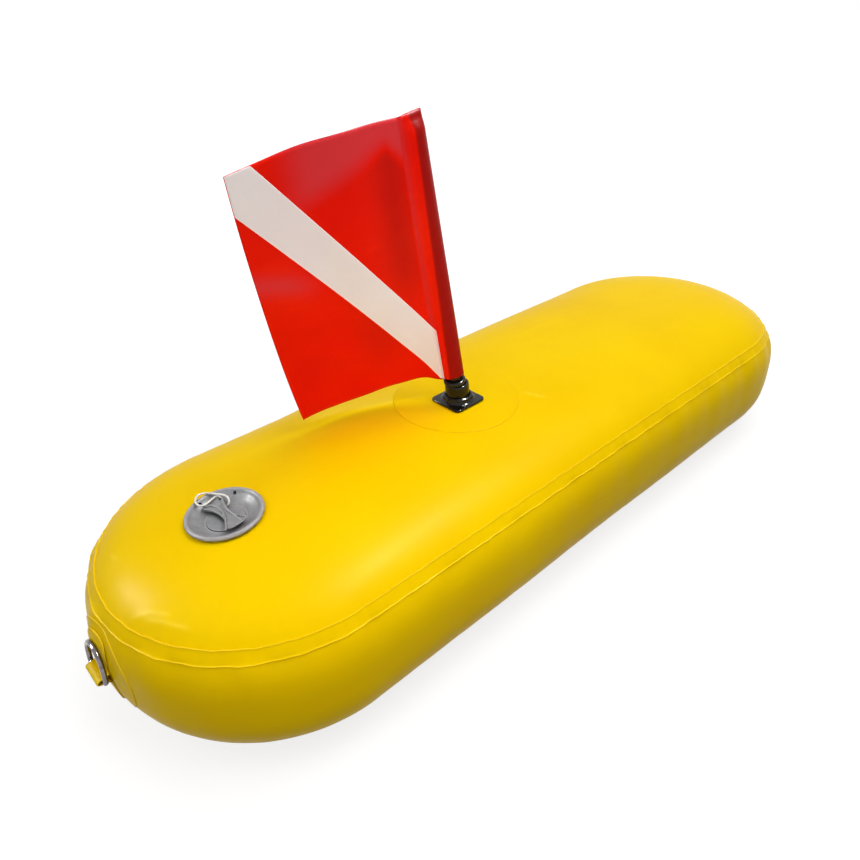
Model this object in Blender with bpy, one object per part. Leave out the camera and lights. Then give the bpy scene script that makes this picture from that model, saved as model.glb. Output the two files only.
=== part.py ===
"""Dive flag float: an inflatable tow float with a plug valve, a pole socket and a flag.

Metres, +Z up. The origin is the middle of the flat that the float rests on.
The nose with the tow ring points to -X.
"""
import math

import bmesh
import bpy
from mathutils import Matrix, Vector

# Clearances and sheet thicknesses shared by the whole object
fit_gap = 0.0003
cut_overrun = 0.004
pvc_sheet = 0.0009

# Bladder: a stadium in plan, a rounded rectangle in section
float_length = 1.100
float_width = 0.375
float_height = 0.200
section_power = 2.86
rest_flat_depth = 0.0008
seam_height = 0.0583
seam_band_width = 0.0150
end_segments = 20
top_ring_shares = (0.80, 0.70, 0.57, 0.42, 0.22)
side_ring_shares = (0.66, 0.33, 0.0)

# Tie webs inside the bladder
web_spacing = 0.125
web_length = 0.640
web_hole_radius = 0.020
web_hole_count = 5

# Pole socket
socket_x = -0.0874
socket_y = -0.0109
patch_x = -0.0845
patch_y = -0.0040
patch_radius = 0.0778
patch_sheet = 0.0007
plate_side = 0.0484
plate_corner = 0.0060
plate_thickness = 0.0030
collar_radius = 0.0178
collar_flare = 0.0010
collar_height = 0.0070
tube_radius = 0.0147
tube_bore_radius = 0.0117
tube_rise = 0.0270
tube_drop = 0.0250
tube_floor = 0.0030
tube_edge = 0.0010
tube_lean_deg = 3.0

# Flag pole
pole_radius = 0.0085
pole_wall = 0.0015
pole_lean_deg = 9.76
pole_lean_azimuth_deg = 185.23
sleeve_overlap = 0.0200
stop_ring_radius = 0.0133
stop_ring_height = 0.0058
stop_ring_edge = 0.0012
pole_plug_length = 0.012
pole_plug_rim = 0.0025

# Flag: hoist is along the pole, fly is from the pole's axis to the free edge
flag_hoist = 0.305
flag_fly = 0.190
sleeve_tip = 0.0120
weld_width = 0.0042
stripe_width = 0.0405
stripe_sheet = 0.0003
# The sheet's direction round the pole, from -X towards -Y, at the foot and the head of the hoist,
# and how much further it has turned half way and all the way to the fly edge
sheet_foot_deg = -47.5
sheet_head_deg = 0.6
foot_bend_deg = 47.7
foot_curl_deg = -4.1
head_bend_deg = -28.4
head_curl_deg = 17.1
foot_droop_deg = 6.9
head_droop_deg = 9.5
foot_droop_gain_deg = -7.4
head_droop_gain_deg = -16.0
flag_rows = 12
flag_columns = 12
sleeve_steps = 14

# Valve, heights measured from the top sheet
valve_nose_distance = 0.1466
valve_y = -0.0050
valve_tilt_deg = -2.4
dish_radius = 0.0395
dish_lip_height = 0.0050
weld_inner_radius = 0.0326
dish_neck_radius = 0.0234
dish_bore_radius = 0.0208
dish_floor_depth = 0.0058
dish_neck_depth = 0.0150
dish_segments = 44
rim_hole_azimuths_deg = (110.0, 42.0)
rim_hole_reach = 0.0311
rim_hole_radius = 0.0011
rim_hole_floor = 0.0001
seat_flange_height = 0.0012
seat_mouth_radius = 0.01995
seat_lip_radius = 0.0178
seat_bore_radius = 0.0192
seat_ledge_depth = 0.0076
seat_lip_thickness = 0.0028
seat_depth = 0.0215
seat_floor = 0.0018
seat_port_radius = 0.0140
spider_hub_radius = 0.0046
spider_arm_width = 0.0030
spider_arm_count = 3
stem_hole_radius = 0.0021
bayonet_lift = 0.0015
bayonet_turn_deg = 90.0
lug_half_deg = 14.0
slot_play_deg = 3.0
lug_height = 0.0024
lug_count = 2
plug_rim_radius = 0.0196
plug_top_depth = 0.0030
plug_rim_thickness = 0.0026
plug_edge = 0.0005
plug_skirt_radius = 0.0173
plug_skirt_wall = 0.0020
gasket_width = 0.0015
stem_radius = 0.0017
stem_knob_radius = 0.0032
diaphragm_radius = 0.0160
diaphragm_thickness = 0.0012
diaphragm_travel = 0.0025

# Bow-tie grip on the plug
grip_top = 0.0030
grip_thickness = 0.0018
grip_half_length = 0.0215
grip_end_half_width = 0.0114
grip_waist_half_width = 0.0047
grip_near_bulge = 0.0032
grip_far_bulge = 0.0065
grip_end_power = 6
grip_turn_deg = 3.5
grip_rib_width = 0.0016
grip_rib_height = 0.0011
grip_post_length = 0.0170
grip_post_width = 0.0046
grip_hole_radius = 0.0014
grip_hole_x = 0.0073
grip_hole_y = 0.0230

# Cord loop tied to the plug: out at the grip's right from a knot under it, over the dish's rim and
# back over the grip's end. The points are in the valve's own frame, chosen by hand from the photo.
plug_cord_diameter = 0.0020
knot_x = 0.0076
knot_y = 0.0196
knot_radius = 0.0022
knot_height = 0.0034
knot_steps = 8
plug_cord_route = [
    (0.0078, 0.0171, -0.0009), (0.0080, 0.0150, -0.0012), (0.0089, 0.0129, -0.0006),
    (0.0106, 0.0119, 0.0012), (0.0124, 0.0128, 0.0034), (0.0133, 0.0158, 0.0054),
    (0.0126, 0.0194, 0.0065), (0.0108, 0.0228, 0.0069), (0.0084, 0.0264, 0.0070),
    (0.0059, 0.0304, 0.0069), (0.0033, 0.0344, 0.0068), (-0.0001, 0.0385, 0.0065),
    (-0.0042, 0.0412, 0.0064), (-0.0080, 0.0404, 0.0064), (-0.0113, 0.0373, 0.0065),
    (-0.0136, 0.0329, 0.0066), (-0.0143, 0.0282, 0.0065), (-0.0130, 0.0245, 0.0062),
    (-0.0099, 0.0230, 0.0057), (-0.0060, 0.0235, 0.0054), (-0.0019, 0.0251, 0.0051),
    (0.0022, 0.0268, 0.0049), (0.0060, 0.0284, 0.0044), (0.0086, 0.0288, 0.0030),
    (0.0099, 0.0276, 0.0011), (0.0099, 0.0254, -0.0004), (0.0087, 0.0221, -0.0008),
]

# Tow ring at the nose
ring_patch_radius = 0.0505
strap_width = 0.0300
strap_sheet = 0.0012
strap_reach = 0.0420
strap_corner = 0.0060
strap_mouth = 0.0053
strap_wrap_start_deg = 60.0
ring_rod_radius = 0.0025
ring_inner_width = 0.0352
ring_height = 0.0387
ring_drop = 0.0040
ring_corner_radius = 0.0040
ring_stand_off = 0.0070
ring_sides = 10


def clear_scene():
    for item in list(bpy.data.objects):
        bpy.data.objects.remove(item, do_unlink=True)


def make_material(name, colour, roughness, metallic=0.0):
    material = bpy.data.materials.new(name)
    material.use_nodes = True
    shader = material.node_tree.nodes["Principled BSDF"]
    shader.inputs["Base Color"].default_value = (*colour, 1.0)
    shader.inputs["Roughness"].default_value = roughness
    shader.inputs["Metallic"].default_value = metallic
    return material


def add_object(name, build, material=None, sharp_deg=35.0):
    """Turns a bmesh into a named object with outward faces and round pieces shaded smooth."""
    bmesh.ops.recalc_face_normals(build, faces=build.faces)
    mesh = bpy.data.meshes.new(name)
    build.to_mesh(mesh)
    build.free()
    item = bpy.data.objects.new(name, mesh)
    bpy.context.collection.objects.link(item)
    mesh.shade_smooth()
    mesh.set_sharp_from_angle(angle=math.radians(sharp_deg))
    if material is not None:
        mesh.materials.append(material)
    return item


def as_helper(item):
    item.hide_render = True
    item.display_type = "WIRE"
    return item


def cut(item, helper, operation="DIFFERENCE"):
    step = item.modifiers.new(helper.name, "BOOLEAN")
    step.operation = operation
    step.object = helper
    as_helper(helper)


def turned(name, profile, material=None, segments=48):
    """Spins a closed outline of (radius, height) points round Z."""
    build = bmesh.new()
    ring = [build.verts.new((radius, 0.0, height)) for radius, height in profile]
    edges = [build.edges.new((ring[i - 1], ring[i])) for i in range(len(ring))
             if not (profile[i - 1][0] == 0.0 and profile[i][0] == 0.0)]
    bmesh.ops.spin(build, geom=ring + edges, cent=(0, 0, 0), axis=(0, 0, 1),
                   angle=math.tau, steps=segments, use_merge=True)
    bmesh.ops.remove_doubles(build, verts=build.verts, dist=fit_gap / 100)
    return add_object(name, build, material)


def extruded(name, outline, low, high, material=None):
    """Raises a flat outline of (x, y) points from one height to another."""
    build = bmesh.new()
    face = build.faces.new([build.verts.new((x, y, low)) for x, y in outline])
    raised = bmesh.ops.extrude_face_region(build, geom=[face])
    corners = [item for item in raised["geom"] if isinstance(item, bmesh.types.BMVert)]
    bmesh.ops.translate(build, verts=corners, vec=(0, 0, high - low))
    return add_object(name, build, material)


def cylinder(name, radius, low, high, segments=32):
    return turned(name, [(0.0, low), (radius, low), (radius, high), (0.0, high)], None, segments)


def rounded_square(side, corner, steps=5):
    half = side / 2 - corner
    points = []
    for quarter in range(4):
        middle = math.pi / 4 + quarter * math.pi / 2
        centre = (math.copysign(half, math.cos(middle)), math.copysign(half, math.sin(middle)))
        for step in range(steps + 1):
            angle = quarter * math.pi / 2 + step / steps * math.pi / 2
            points.append((centre[0] + corner * math.cos(angle), centre[1] + corner * math.sin(angle)))
    return points


# Bladder surface

half_width = float_width / 2
half_height = float_height / 2
spine_half = float_length / 2 - half_width
middle_height = half_height - rest_flat_depth


def radius_at(height):
    """Half width of the section at a height over its middle."""
    return half_width * (1.0 - abs(height / half_height) ** section_power) ** (1.0 / section_power)


def height_at(radius):
    """Height of the upper half of the section over its middle."""
    return half_height * (1.0 - abs(radius / half_width) ** section_power) ** (1.0 / section_power)


def section_normal(radius, height):
    across = (radius / half_width) ** (section_power - 1.0) / half_width
    up = math.copysign(abs(height / half_height) ** (section_power - 1.0), height) / half_height
    size = math.hypot(across, up)
    return across / size, up / size


def stations():
    """The plan loop: where each section stands on the spine, and the way it faces."""
    loop = []
    for end in (1.0, -1.0):
        for step in range(end_segments + 1):
            angle = -math.pi / 2 + step / end_segments * math.pi
            loop.append((end * spine_half, end * math.cos(angle), end * math.sin(angle)))
    return loop


def skin(rings, rise, apex=None):
    """A sheet through rings of (radius, height), lifted off the bladder's surface by a distance."""
    build = bmesh.new()
    loop = stations()
    grid = []
    for radius, height in rings:
        across, up = section_normal(radius, height)
        if height <= rest_flat_depth - half_height:
            across, up = 0.0, -1.0
        reach = radius + rise * across
        level = middle_height + height + rise * up
        grid.append([build.verts.new((x + reach * nx, reach * ny, level)) for x, nx, ny in loop])
    for low, high in zip(grid, grid[1:]):
        for i in range(len(loop)):
            build.faces.new((low[i - 1], low[i], high[i], high[i - 1]))
    if apex is not None:
        level = middle_height + apex + math.copysign(rise, apex)
        tips = {end: build.verts.new((end * spine_half, 0, level)) for end in (1.0, -1.0)}
        last = grid[-1]
        for i in range(len(loop)):
            before = tips[math.copysign(1.0, loop[i - 1][0])]
            after = tips[math.copysign(1.0, loop[i][0])]
            corners = [last[i - 1], last[i], after]
            if before is not after:
                corners.append(before)
            build.faces.new(corners)
    return build


def thicken(item, thickness, outward):
    step = item.modifiers.new("sheet", "SOLIDIFY")
    step.thickness = thickness
    step.offset = 1.0 if outward else -1.0
    step.use_even_offset = True


def along_section(height, distance):
    """The height that lies a distance further down the section's curve from a height over zero."""
    steps = 40
    radius = radius_at(height)
    travelled = 0.0
    while travelled < distance:
        lower = height - seam_band_width / steps
        next_radius = radius_at(lower)
        travelled += math.hypot(next_radius - radius, height - lower)
        height, radius = lower, next_radius
    return height


def along_section_up(radius, distance):
    """The radius that lies a distance further in, towards the spine, from a radius."""
    steps = 40
    height = height_at(radius)
    travelled = 0.0
    while travelled < distance:
        inner = radius - seam_band_width / steps
        next_height = height_at(inner)
        travelled += math.hypot(radius - inner, next_height - height)
        radius, height = inner, next_height
    return radius


band_low_height = along_section(seam_height, seam_band_width / 2)
band_high_radius = along_section_up(radius_at(seam_height), seam_band_width / 2)


def shoulder_rings(sign, first_height):
    """Rings from the seam over the shoulder towards the spine, on the upper or lower half."""
    rings = [(radius_at(first_height), sign * first_height)]
    rings.append((band_high_radius, sign * height_at(band_high_radius)))
    rings += [(share * half_width, sign * height_at(share * half_width)) for share in top_ring_shares]
    return rings


def make_bladder(yellow):
    upper = shoulder_rings(1.0, seam_height + fit_gap / 2)
    top = add_object("top_panel", skin(upper, 0.0, half_height), yellow)
    thicken(top, pvc_sheet, False)

    lower = shoulder_rings(-1.0, seam_height + fit_gap / 2)
    flat_level = rest_flat_depth - half_height
    flat_radius = radius_at(flat_level)
    lower = [ring for ring in lower if ring[0] > flat_radius] + [(flat_radius, flat_level)]
    bottom = add_object("bottom_panel", skin(lower, 0.0, flat_level), yellow)
    thicken(bottom, pvc_sheet, False)

    heights = [seam_height - fit_gap / 2, band_low_height]
    heights += [share * band_low_height for share in side_ring_shares]
    heights += [-height for height in reversed(heights[:-1])]
    side = add_object("side_wall", skin([(radius_at(height), height) for height in heights], 0.0), yellow)
    thicken(side, pvc_sheet, False)

    for name, sign in (("seam_band_top", 1.0), ("seam_band_bottom", -1.0)):
        rings = [(band_high_radius, sign * height_at(band_high_radius)),
                 (radius_at(seam_height), sign * seam_height),
                 (radius_at(band_low_height), sign * band_low_height)]
        band = add_object(name, skin(rings, fit_gap), yellow)
        thicken(band, pvc_sheet, True)
    return top


def make_tie_webs(yellow):
    for name, side in (("tie_web_left", 1.0), ("tie_web_right", -1.0)):
        y = side * web_spacing / 2
        reach = height_at(web_spacing / 2 + pvc_sheet) - pvc_sheet - 2 * fit_gap
        build = bmesh.new()
        half = web_length / 2
        corners = [(-half, -reach), (half, -reach), (half, reach), (-half, reach)]
        near = y - pvc_sheet / 2
        face = build.faces.new([build.verts.new((x, near, middle_height + z)) for x, z in corners])
        raised = bmesh.ops.extrude_face_region(build, geom=[face])
        moved = [item for item in raised["geom"] if isinstance(item, bmesh.types.BMVert)]
        bmesh.ops.translate(build, verts=moved, vec=(0, pvc_sheet, 0))
        web = add_object(name, build, yellow)
        for index in range(web_hole_count):
            x = (index + 0.5) / web_hole_count * web_length - web_length / 2
            hole = cylinder(f"{name}_hole_{index}", web_hole_radius, -cut_overrun, cut_overrun, 24)
            hole.location = (x, y, middle_height)
            hole.rotation_euler = (math.pi / 2, 0, 0)
            cut(web, hole)


# Pole socket

def lean_matrix(lean_deg, azimuth_deg):
    turn = Matrix.Rotation(math.radians(azimuth_deg), 4, "Z")
    return turn @ Matrix.Rotation(math.radians(lean_deg), 4, "Y") @ turn.inverted()


def frame_at(name, location, matrix):
    """An empty that carries the pieces of one joint's axis."""
    empty = bpy.data.objects.new(name, None)
    bpy.context.collection.objects.link(empty)
    empty.matrix_world = Matrix.Translation(location) @ matrix
    return empty


def put_on(empty, *items):
    for item in items:
        item.parent = empty


surface_height = middle_height + half_height
plate_seat = surface_height + 2 * fit_gap + patch_sheet


def make_socket(top, yellow, black):
    rings = shoulder_rings(1.0, seam_height + fit_gap / 2)
    patch = add_object("socket_patch", skin(rings, fit_gap, half_height), yellow)
    thicken(patch, patch_sheet, True)
    low = surface_height - half_height / 2
    disc = cylinder("patch_outline", patch_radius, low, surface_height + cut_overrun, 72)
    disc.location = (patch_x, patch_y, 0)
    cut(patch, disc, "INTERSECT")

    tube_clearance = tube_radius + tube_drop * math.tan(math.radians(tube_lean_deg)) + 2 * fit_gap
    for item, suffix in ((top, "top"), (patch, "patch")):
        hole = cylinder(f"socket_hole_{suffix}", tube_clearance, low, surface_height + cut_overrun, 40)
        hole.location = (socket_x, socket_y, 0)
        cut(item, hole)

    axis = frame_at("socket_frame", (socket_x, socket_y, plate_seat), Matrix.Identity(4))
    base = extruded("socket_base", rounded_square(plate_side, plate_corner), 0.0, plate_thickness, black)
    base_step = base.modifiers.new("soft_edges", "BEVEL")
    base_step.width = plate_thickness / 4
    base_step.segments = 2
    base_step.limit_method = "ANGLE"
    collar_top = plate_thickness + collar_height
    bore = tube_radius + (collar_top + fit_gap) * math.tan(math.radians(tube_lean_deg)) + fit_gap
    outline = [(bore - collar_flare, plate_thickness / 2),
               (collar_radius + collar_flare, plate_thickness / 2),
               (collar_radius + collar_flare / 2, plate_thickness + collar_height / 4),
               (collar_radius - collar_flare / 2, collar_top - collar_flare),
               (collar_radius - 1.5 * collar_flare, collar_top),
               (bore - collar_flare, collar_top)]
    collar = turned("collar_ring", outline, None, 40)
    cut(base, collar, "UNION")
    through = cylinder("collar_bore", bore, -cut_overrun, collar_top + cut_overrun, 40)
    cut(base, through)
    put_on(axis, base, collar, through)

    tilt = lean_matrix(tube_lean_deg, pole_lean_azimuth_deg)
    tube_frame = frame_at("tube_frame", (socket_x, socket_y, surface_height), tilt)
    low = -tube_drop - tube_floor
    outline = [(0.0, low), (tube_radius - tube_edge, low),
               (tube_radius, low + tube_edge), (tube_radius, tube_rise - tube_edge),
               (tube_radius - tube_edge, tube_rise), (tube_bore_radius + tube_edge / 2, tube_rise),
               (tube_bore_radius, tube_rise - tube_edge), (tube_bore_radius, -tube_drop),
               (0.0, -tube_drop)]
    put_on(tube_frame, turned("socket_tube", outline, black, 40))


# Pole and flag

pole_matrix = lean_matrix(pole_lean_deg, pole_lean_azimuth_deg)
pole_origin = Vector((socket_x, socket_y, surface_height))
lean_play = (tube_radius - tube_edge) * math.sin(math.radians(pole_lean_deg - tube_lean_deg))
stop_ring_seat = tube_rise + lean_play + fit_gap
sleeve_foot = stop_ring_seat + stop_ring_height + fit_gap
pole_foot = -tube_drop + pole_plug_rim + fit_gap + pole_radius * math.sin(math.radians(pole_lean_deg))
pole_head = sleeve_foot + flag_hoist - sleeve_overlap - pole_plug_rim - fit_gap


def make_pole(black):
    carrier = frame_at("pole_frame", pole_origin, pole_matrix)
    inner = pole_radius - pole_wall
    pole = turned("pole", [(inner, pole_foot), (pole_radius, pole_foot),
                           (pole_radius, pole_head), (inner, pole_head)], black, 28)
    ring_bore = pole_radius + fit_gap
    ring_top = stop_ring_seat + stop_ring_height
    outline = [(ring_bore, stop_ring_seat), (stop_ring_radius - stop_ring_edge, stop_ring_seat),
               (stop_ring_radius, stop_ring_seat + stop_ring_edge),
               (stop_ring_radius, ring_top - stop_ring_edge),
               (stop_ring_radius - stop_ring_edge, ring_top), (ring_bore, ring_top)]
    ring = turned("pole_stop_ring", outline, black, 36)
    plugs = []
    for name, end, way in (("pole_foot_plug", pole_foot, -1.0), ("pole_head_plug", pole_head, 1.0)):
        stem = inner - fit_gap
        rim = end + way * fit_gap
        outline = [(0.0, end - way * pole_plug_length), (stem, end - way * pole_plug_length), (stem, rim),
                   (pole_radius, rim), (pole_radius, rim + way * pole_plug_rim / 2),
                   (pole_radius - pole_wall, rim + way * pole_plug_rim), (0.0, rim + way * pole_plug_rim)]
        plugs.append(turned(name, outline, black, 28))
    put_on(carrier, pole, ring, *plugs)


loop_radius = pole_radius + fit_gap + pvc_sheet / 2
sheet_start = sleeve_tip + weld_width


def sheet_angle(share, height_share):
    """The sheet's heading round the pole at a share of the way to the fly edge."""
    start = sheet_foot_deg + (sheet_head_deg - sheet_foot_deg) * height_share
    bend = foot_bend_deg + (head_bend_deg - foot_bend_deg) * height_share
    curl = foot_curl_deg + (head_curl_deg - foot_curl_deg) * height_share
    return math.radians(start + bend * share + curl * share * share)


def sheet_droop(share, height_share):
    start = foot_droop_deg + (head_droop_deg - foot_droop_deg) * height_share
    gain = foot_droop_gain_deg + (head_droop_gain_deg - foot_droop_gain_deg) * height_share
    return math.radians(start + gain * share)


def sheet_line(height_share, distances):
    """Points and side directions on the sheet at distances from the pole's axis, in the pole's frame."""
    fine = 96
    points = []
    here = Vector((0, 0, sleeve_foot + flag_hoist * height_share))
    travelled = 0.0
    step = flag_fly / fine
    for distance in distances:
        while travelled < distance - step / 1000:
            stride = min(step, distance - travelled)
            share = (travelled + stride / 2) / flag_fly
            turn = sheet_angle(share, height_share)
            rise = sheet_droop(share, height_share) if travelled >= sheet_start else 0.0
            level = math.cos(rise)
            here = here + stride * Vector((-math.cos(turn) * level, -math.sin(turn) * level, math.sin(rise)))
            travelled += stride
        turn = sheet_angle(min(distance / flag_fly, 1.0), height_share)
        points.append((here.copy(), Vector((math.sin(turn), -math.cos(turn), 0.0))))
    return points


def flag_distances():
    """Columns of the sheet from the weld to the fly edge."""
    return [sheet_start + (flag_fly - sheet_start) * i / flag_columns for i in range(flag_columns + 1)]


def make_flag_panel(red):
    """One folded sheet: the fly, the doubled weld and the round sleeve, as a closed solid."""
    build = bmesh.new()
    half = pvc_sheet / 2
    opening = math.acos(loop_radius / sleeve_tip)
    rows = []
    for row in range(flag_rows + 1):
        height_share = row / flag_rows
        level = Vector((0, 0, sleeve_foot + flag_hoist * height_share))
        heading = sheet_angle(sleeve_tip / flag_fly, height_share)
        outward = Vector((-math.cos(heading), -math.sin(heading), 0.0))
        side = Vector((math.sin(heading), -math.cos(heading), 0.0))
        outer, inner = [], []
        for step in range(sleeve_steps + 1):
            angle = opening + (math.tau - 2 * opening) * step / sleeve_steps
            spoke = outward * math.cos(angle) + side * math.sin(angle)
            outer.append(level + spoke * (loop_radius + half))
            inner.append(level + spoke * (loop_radius - half))
        throat = level + outward * (sleeve_tip - half)
        line = sheet_line(height_share, [sleeve_tip] + flag_distances())
        near = [point + way * half for point, way in line]
        far = [point - way * half for point, way in line]
        tip, weld = line[0], line[1]
        near[0] = tip[0] + tip[1] * pvc_sheet
        near.insert(1, weld[0] + weld[1] * pvc_sheet)
        rows.append((near, far, outer, inner, throat))
    made = []
    for near, far, outer, inner, throat in rows:
        made.append(([build.verts.new(p) for p in near], [build.verts.new(p) for p in far],
                     [build.verts.new(p) for p in outer], [build.verts.new(p) for p in inner],
                     build.verts.new(throat)))
    for below, above in zip(made, made[1:]):
        loops = []
        for near, far, outer, inner, throat in (below, above):
            loops.append((near[::-1] + outer + far, inner + [throat]))
        skin_low, bore_low = loops[0]
        skin_high, bore_high = loops[1]
        for low, high in ((skin_low, skin_high), (bore_low, bore_high)):
            for i in range(len(low)):
                build.faces.new((low[i - 1], low[i], high[i], high[i - 1]))
    for near, far, outer, inner, throat in (made[0], made[-1]):
        facing = far[:2] + far[1:]
        for i in range(len(near) - 1):
            corners = (near[i], near[i + 1], facing[i + 1], facing[i])
            build.faces.new(list(dict.fromkeys(corners)))
        for i in range(len(outer) - 1):
            build.faces.new((outer[i], outer[i + 1], inner[i + 1], inner[i]))
        build.faces.new((near[0], outer[0], inner[0], throat))
        build.faces.new((far[0], throat, inner[-1], outer[-1]))
        build.faces.new((near[0], throat, far[0]))
    return add_object("flag_panel", build, red, 50.0)


def stripe_limits(distance):
    """The stripe's lower and upper edge over the flag's foot, at a distance from the pole."""
    sleeve_out = loop_radius + pvc_sheet / 2
    slope = flag_hoist / (flag_fly + sleeve_out)
    middle = (distance + sleeve_out) * slope
    spread = stripe_width / 2 * math.sqrt(1.0 + slope * slope)
    return max(0.0, middle - spread), min(flag_hoist, middle + spread)


def make_stripe(name, side, white):
    """A thin strip that follows the sheet from the weld to the fly edge."""
    build = bmesh.new()
    lift = pvc_sheet / 2 + fit_gap
    cells = 4
    grids = []
    distances = flag_distances()
    distances[0] += pvc_sheet
    distances[-1] -= fit_gap
    for rise in (lift, lift + stripe_sheet):
        grid = []
        for distance in distances:
            low, high = stripe_limits(distance)
            column = []
            for cell in range(cells + 1):
                height = low + (high - low) * cell / cells
                point, way = sheet_line(height / flag_hoist, [distance])[0]
                column.append(build.verts.new(point + side * way * rise))
            grid.append(column)
        grids.append(grid)
    under, over = grids
    last = len(distances) - 1
    for i in range(last):
        for j in range(cells):
            for grid in grids:
                build.faces.new((grid[i][j], grid[i + 1][j], grid[i + 1][j + 1], grid[i][j + 1]))
        for j in (0, cells):
            build.faces.new((under[i][j], under[i + 1][j], over[i + 1][j], over[i][j]))
    for i in (0, last):
        for j in range(cells):
            build.faces.new((under[i][j], under[i][j + 1], over[i][j + 1], over[i][j]))
    return add_object(name, build, white, 50.0)


def make_flag(red, white):
    carrier = frame_at("flag_frame", pole_origin, pole_matrix)
    panel = make_flag_panel(red)
    near = make_stripe("stripe_near", 1.0, white)
    far = make_stripe("stripe_far", -1.0, white)
    put_on(carrier, panel, near, far)


# Valve

valve_x = valve_nose_distance - float_length / 2
valve_seat_height = middle_height + height_at(math.hypot(spine_half + valve_x, valve_y)) + fit_gap * 2
valve_matrix = Matrix.Rotation(math.radians(valve_tilt_deg), 4, "Y")


def make_valve_frame():
    return frame_at("valve_frame", (valve_x, valve_y, valve_seat_height), valve_matrix)


def make_dish(frame, top, grey):
    floor = -dish_floor_depth
    weld = weld_inner_radius - 4 * fit_gap
    outline = [(weld_inner_radius, 0.0), (dish_radius * 0.95, 0.0),
               (dish_radius * 0.985, dish_lip_height * 0.12),
               (dish_radius, dish_lip_height * 0.42), (dish_radius * 0.992, dish_lip_height * 0.72),
               (dish_radius * 0.965, dish_lip_height * 0.95), (dish_radius * 0.93, dish_lip_height),
               (dish_radius * 0.895, dish_lip_height * 0.88), (dish_radius * 0.80, dish_lip_height * 0.24),
               (dish_radius * 0.70, floor * 0.42), (dish_radius * 0.62, floor * 0.72),
               (dish_neck_radius - fit_gap, floor * 0.80), (dish_neck_radius - fit_gap * 2, floor),
               (dish_bore_radius, floor), (dish_bore_radius, -dish_neck_depth),
               (dish_neck_radius, -dish_neck_depth), (dish_neck_radius, floor * 1.45),
               (dish_radius * 0.68, floor * 0.95), (weld * 0.96, floor * 0.35), (weld, 0.0)]
    dish = turned("valve_flange", outline, grey, dish_segments)
    hole = cylinder("valve_hole", weld_inner_radius - fit_gap, -half_height / 4, cut_overrun, 48)
    cut(top, hole)
    put_on(frame, dish, hole)
    for index, azimuth in enumerate(rim_hole_azimuths_deg):
        spot = math.radians(azimuth)
        pit = cylinder(f"rim_hole_{index}", rim_hole_radius, rim_hole_floor, dish_lip_height, 12)
        pit.location = (rim_hole_reach * math.cos(spot), rim_hole_reach * math.sin(spot), 0)
        cut(dish, pit)
        put_on(frame, pit)


def ramp_height(angle_deg):
    """Underside of the seat's inner lip: a ramp that rises from the locked lug to the entry slot."""
    past_lug = angle_deg % (360.0 / lug_count)
    locked = -seat_ledge_depth - seat_lip_thickness
    if past_lug > 360.0 / lug_count - lug_half_deg:
        return locked
    return locked + bayonet_lift * min(past_lug + lug_half_deg, bayonet_turn_deg) / bayonet_turn_deg


def in_slot(angle_deg):
    slot_half = lug_half_deg + slot_play_deg
    past_lug = angle_deg % (360.0 / lug_count)
    return abs(past_lug - bayonet_turn_deg) < slot_half


def make_seat(frame, grey):
    """The seat ring: its inner lip carries two entry slots and two ramps for the plug's lugs."""
    steps = 48
    build = bmesh.new()
    flange_top = -dish_floor_depth + fit_gap + seat_flange_height
    flange_low = -dish_floor_depth + fit_gap
    body = dish_bore_radius - fit_gap
    rim = dish_neck_radius - 3 * fit_gap
    floor_top = -seat_depth + seat_floor
    rings = []
    for step in range(steps):
        angle = step * 360.0 / steps
        lip = seat_bore_radius - fit_gap / 2 if in_slot(angle) else seat_lip_radius
        ramp = ramp_height(angle)
        outline = [(seat_mouth_radius, flange_top), (rim, flange_top), (rim, flange_low), (body, flange_low),
                   (body, -seat_depth), (seat_port_radius, -seat_depth), (seat_port_radius, floor_top),
                   (seat_bore_radius, floor_top), (seat_bore_radius, ramp),
                   (lip, ramp), (lip, -seat_ledge_depth), (seat_mouth_radius, -seat_ledge_depth)]
        turn = math.radians(angle)
        rings.append([build.verts.new((r * math.cos(turn), r * math.sin(turn), z)) for r, z in outline])
    for i in range(steps):
        for j in range(len(rings[0])):
            build.faces.new((rings[i - 1][j - 1], rings[i][j - 1], rings[i][j], rings[i - 1][j]))
    seat = add_object("valve_seat", build, grey)

    hub = cylinder("spider_hub", spider_hub_radius, -seat_depth, floor_top, 24)
    cut(seat, hub, "UNION")
    put_on(frame, seat, hub)
    for index in range(spider_arm_count):
        turn = index / spider_arm_count * math.tau
        reach = seat_port_radius + seat_floor
        start = spider_hub_radius / 2
        outline = [(start, -spider_arm_width / 2), (reach, -spider_arm_width / 2),
                   (reach, spider_arm_width / 2), (start, spider_arm_width / 2)]
        inset = seat_floor / 6
        arm = extruded(f"spider_arm_{index}", outline, -seat_depth + inset, floor_top - inset)
        arm.rotation_euler = (0, 0, turn)
        cut(seat, arm, "UNION")
        put_on(frame, arm)
    low, high = -seat_depth - cut_overrun, floor_top + cut_overrun
    stem_hole = cylinder("stem_hole", stem_hole_radius, low, high, 20)
    cut(seat, stem_hole)
    put_on(frame, stem_hole)


def make_diaphragm(frame, rubber):
    face = -seat_depth - fit_gap
    knob = -seat_depth + seat_floor + fit_gap + diaphragm_travel
    boss = face - diaphragm_thickness * 1.6
    outline = [(0.0, boss), (stem_knob_radius, boss), (diaphragm_radius * 0.4, face - diaphragm_thickness),
               (diaphragm_radius, face - diaphragm_thickness / 3),
               (diaphragm_radius, face), (stem_radius, face), (stem_radius, knob),
               (stem_knob_radius, knob), (stem_knob_radius, knob + stem_radius),
               (stem_radius, knob + stem_radius * 2), (0.0, knob + stem_radius * 2)]
    put_on(frame, turned("check_diaphragm", outline, rubber, 28))


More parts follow.
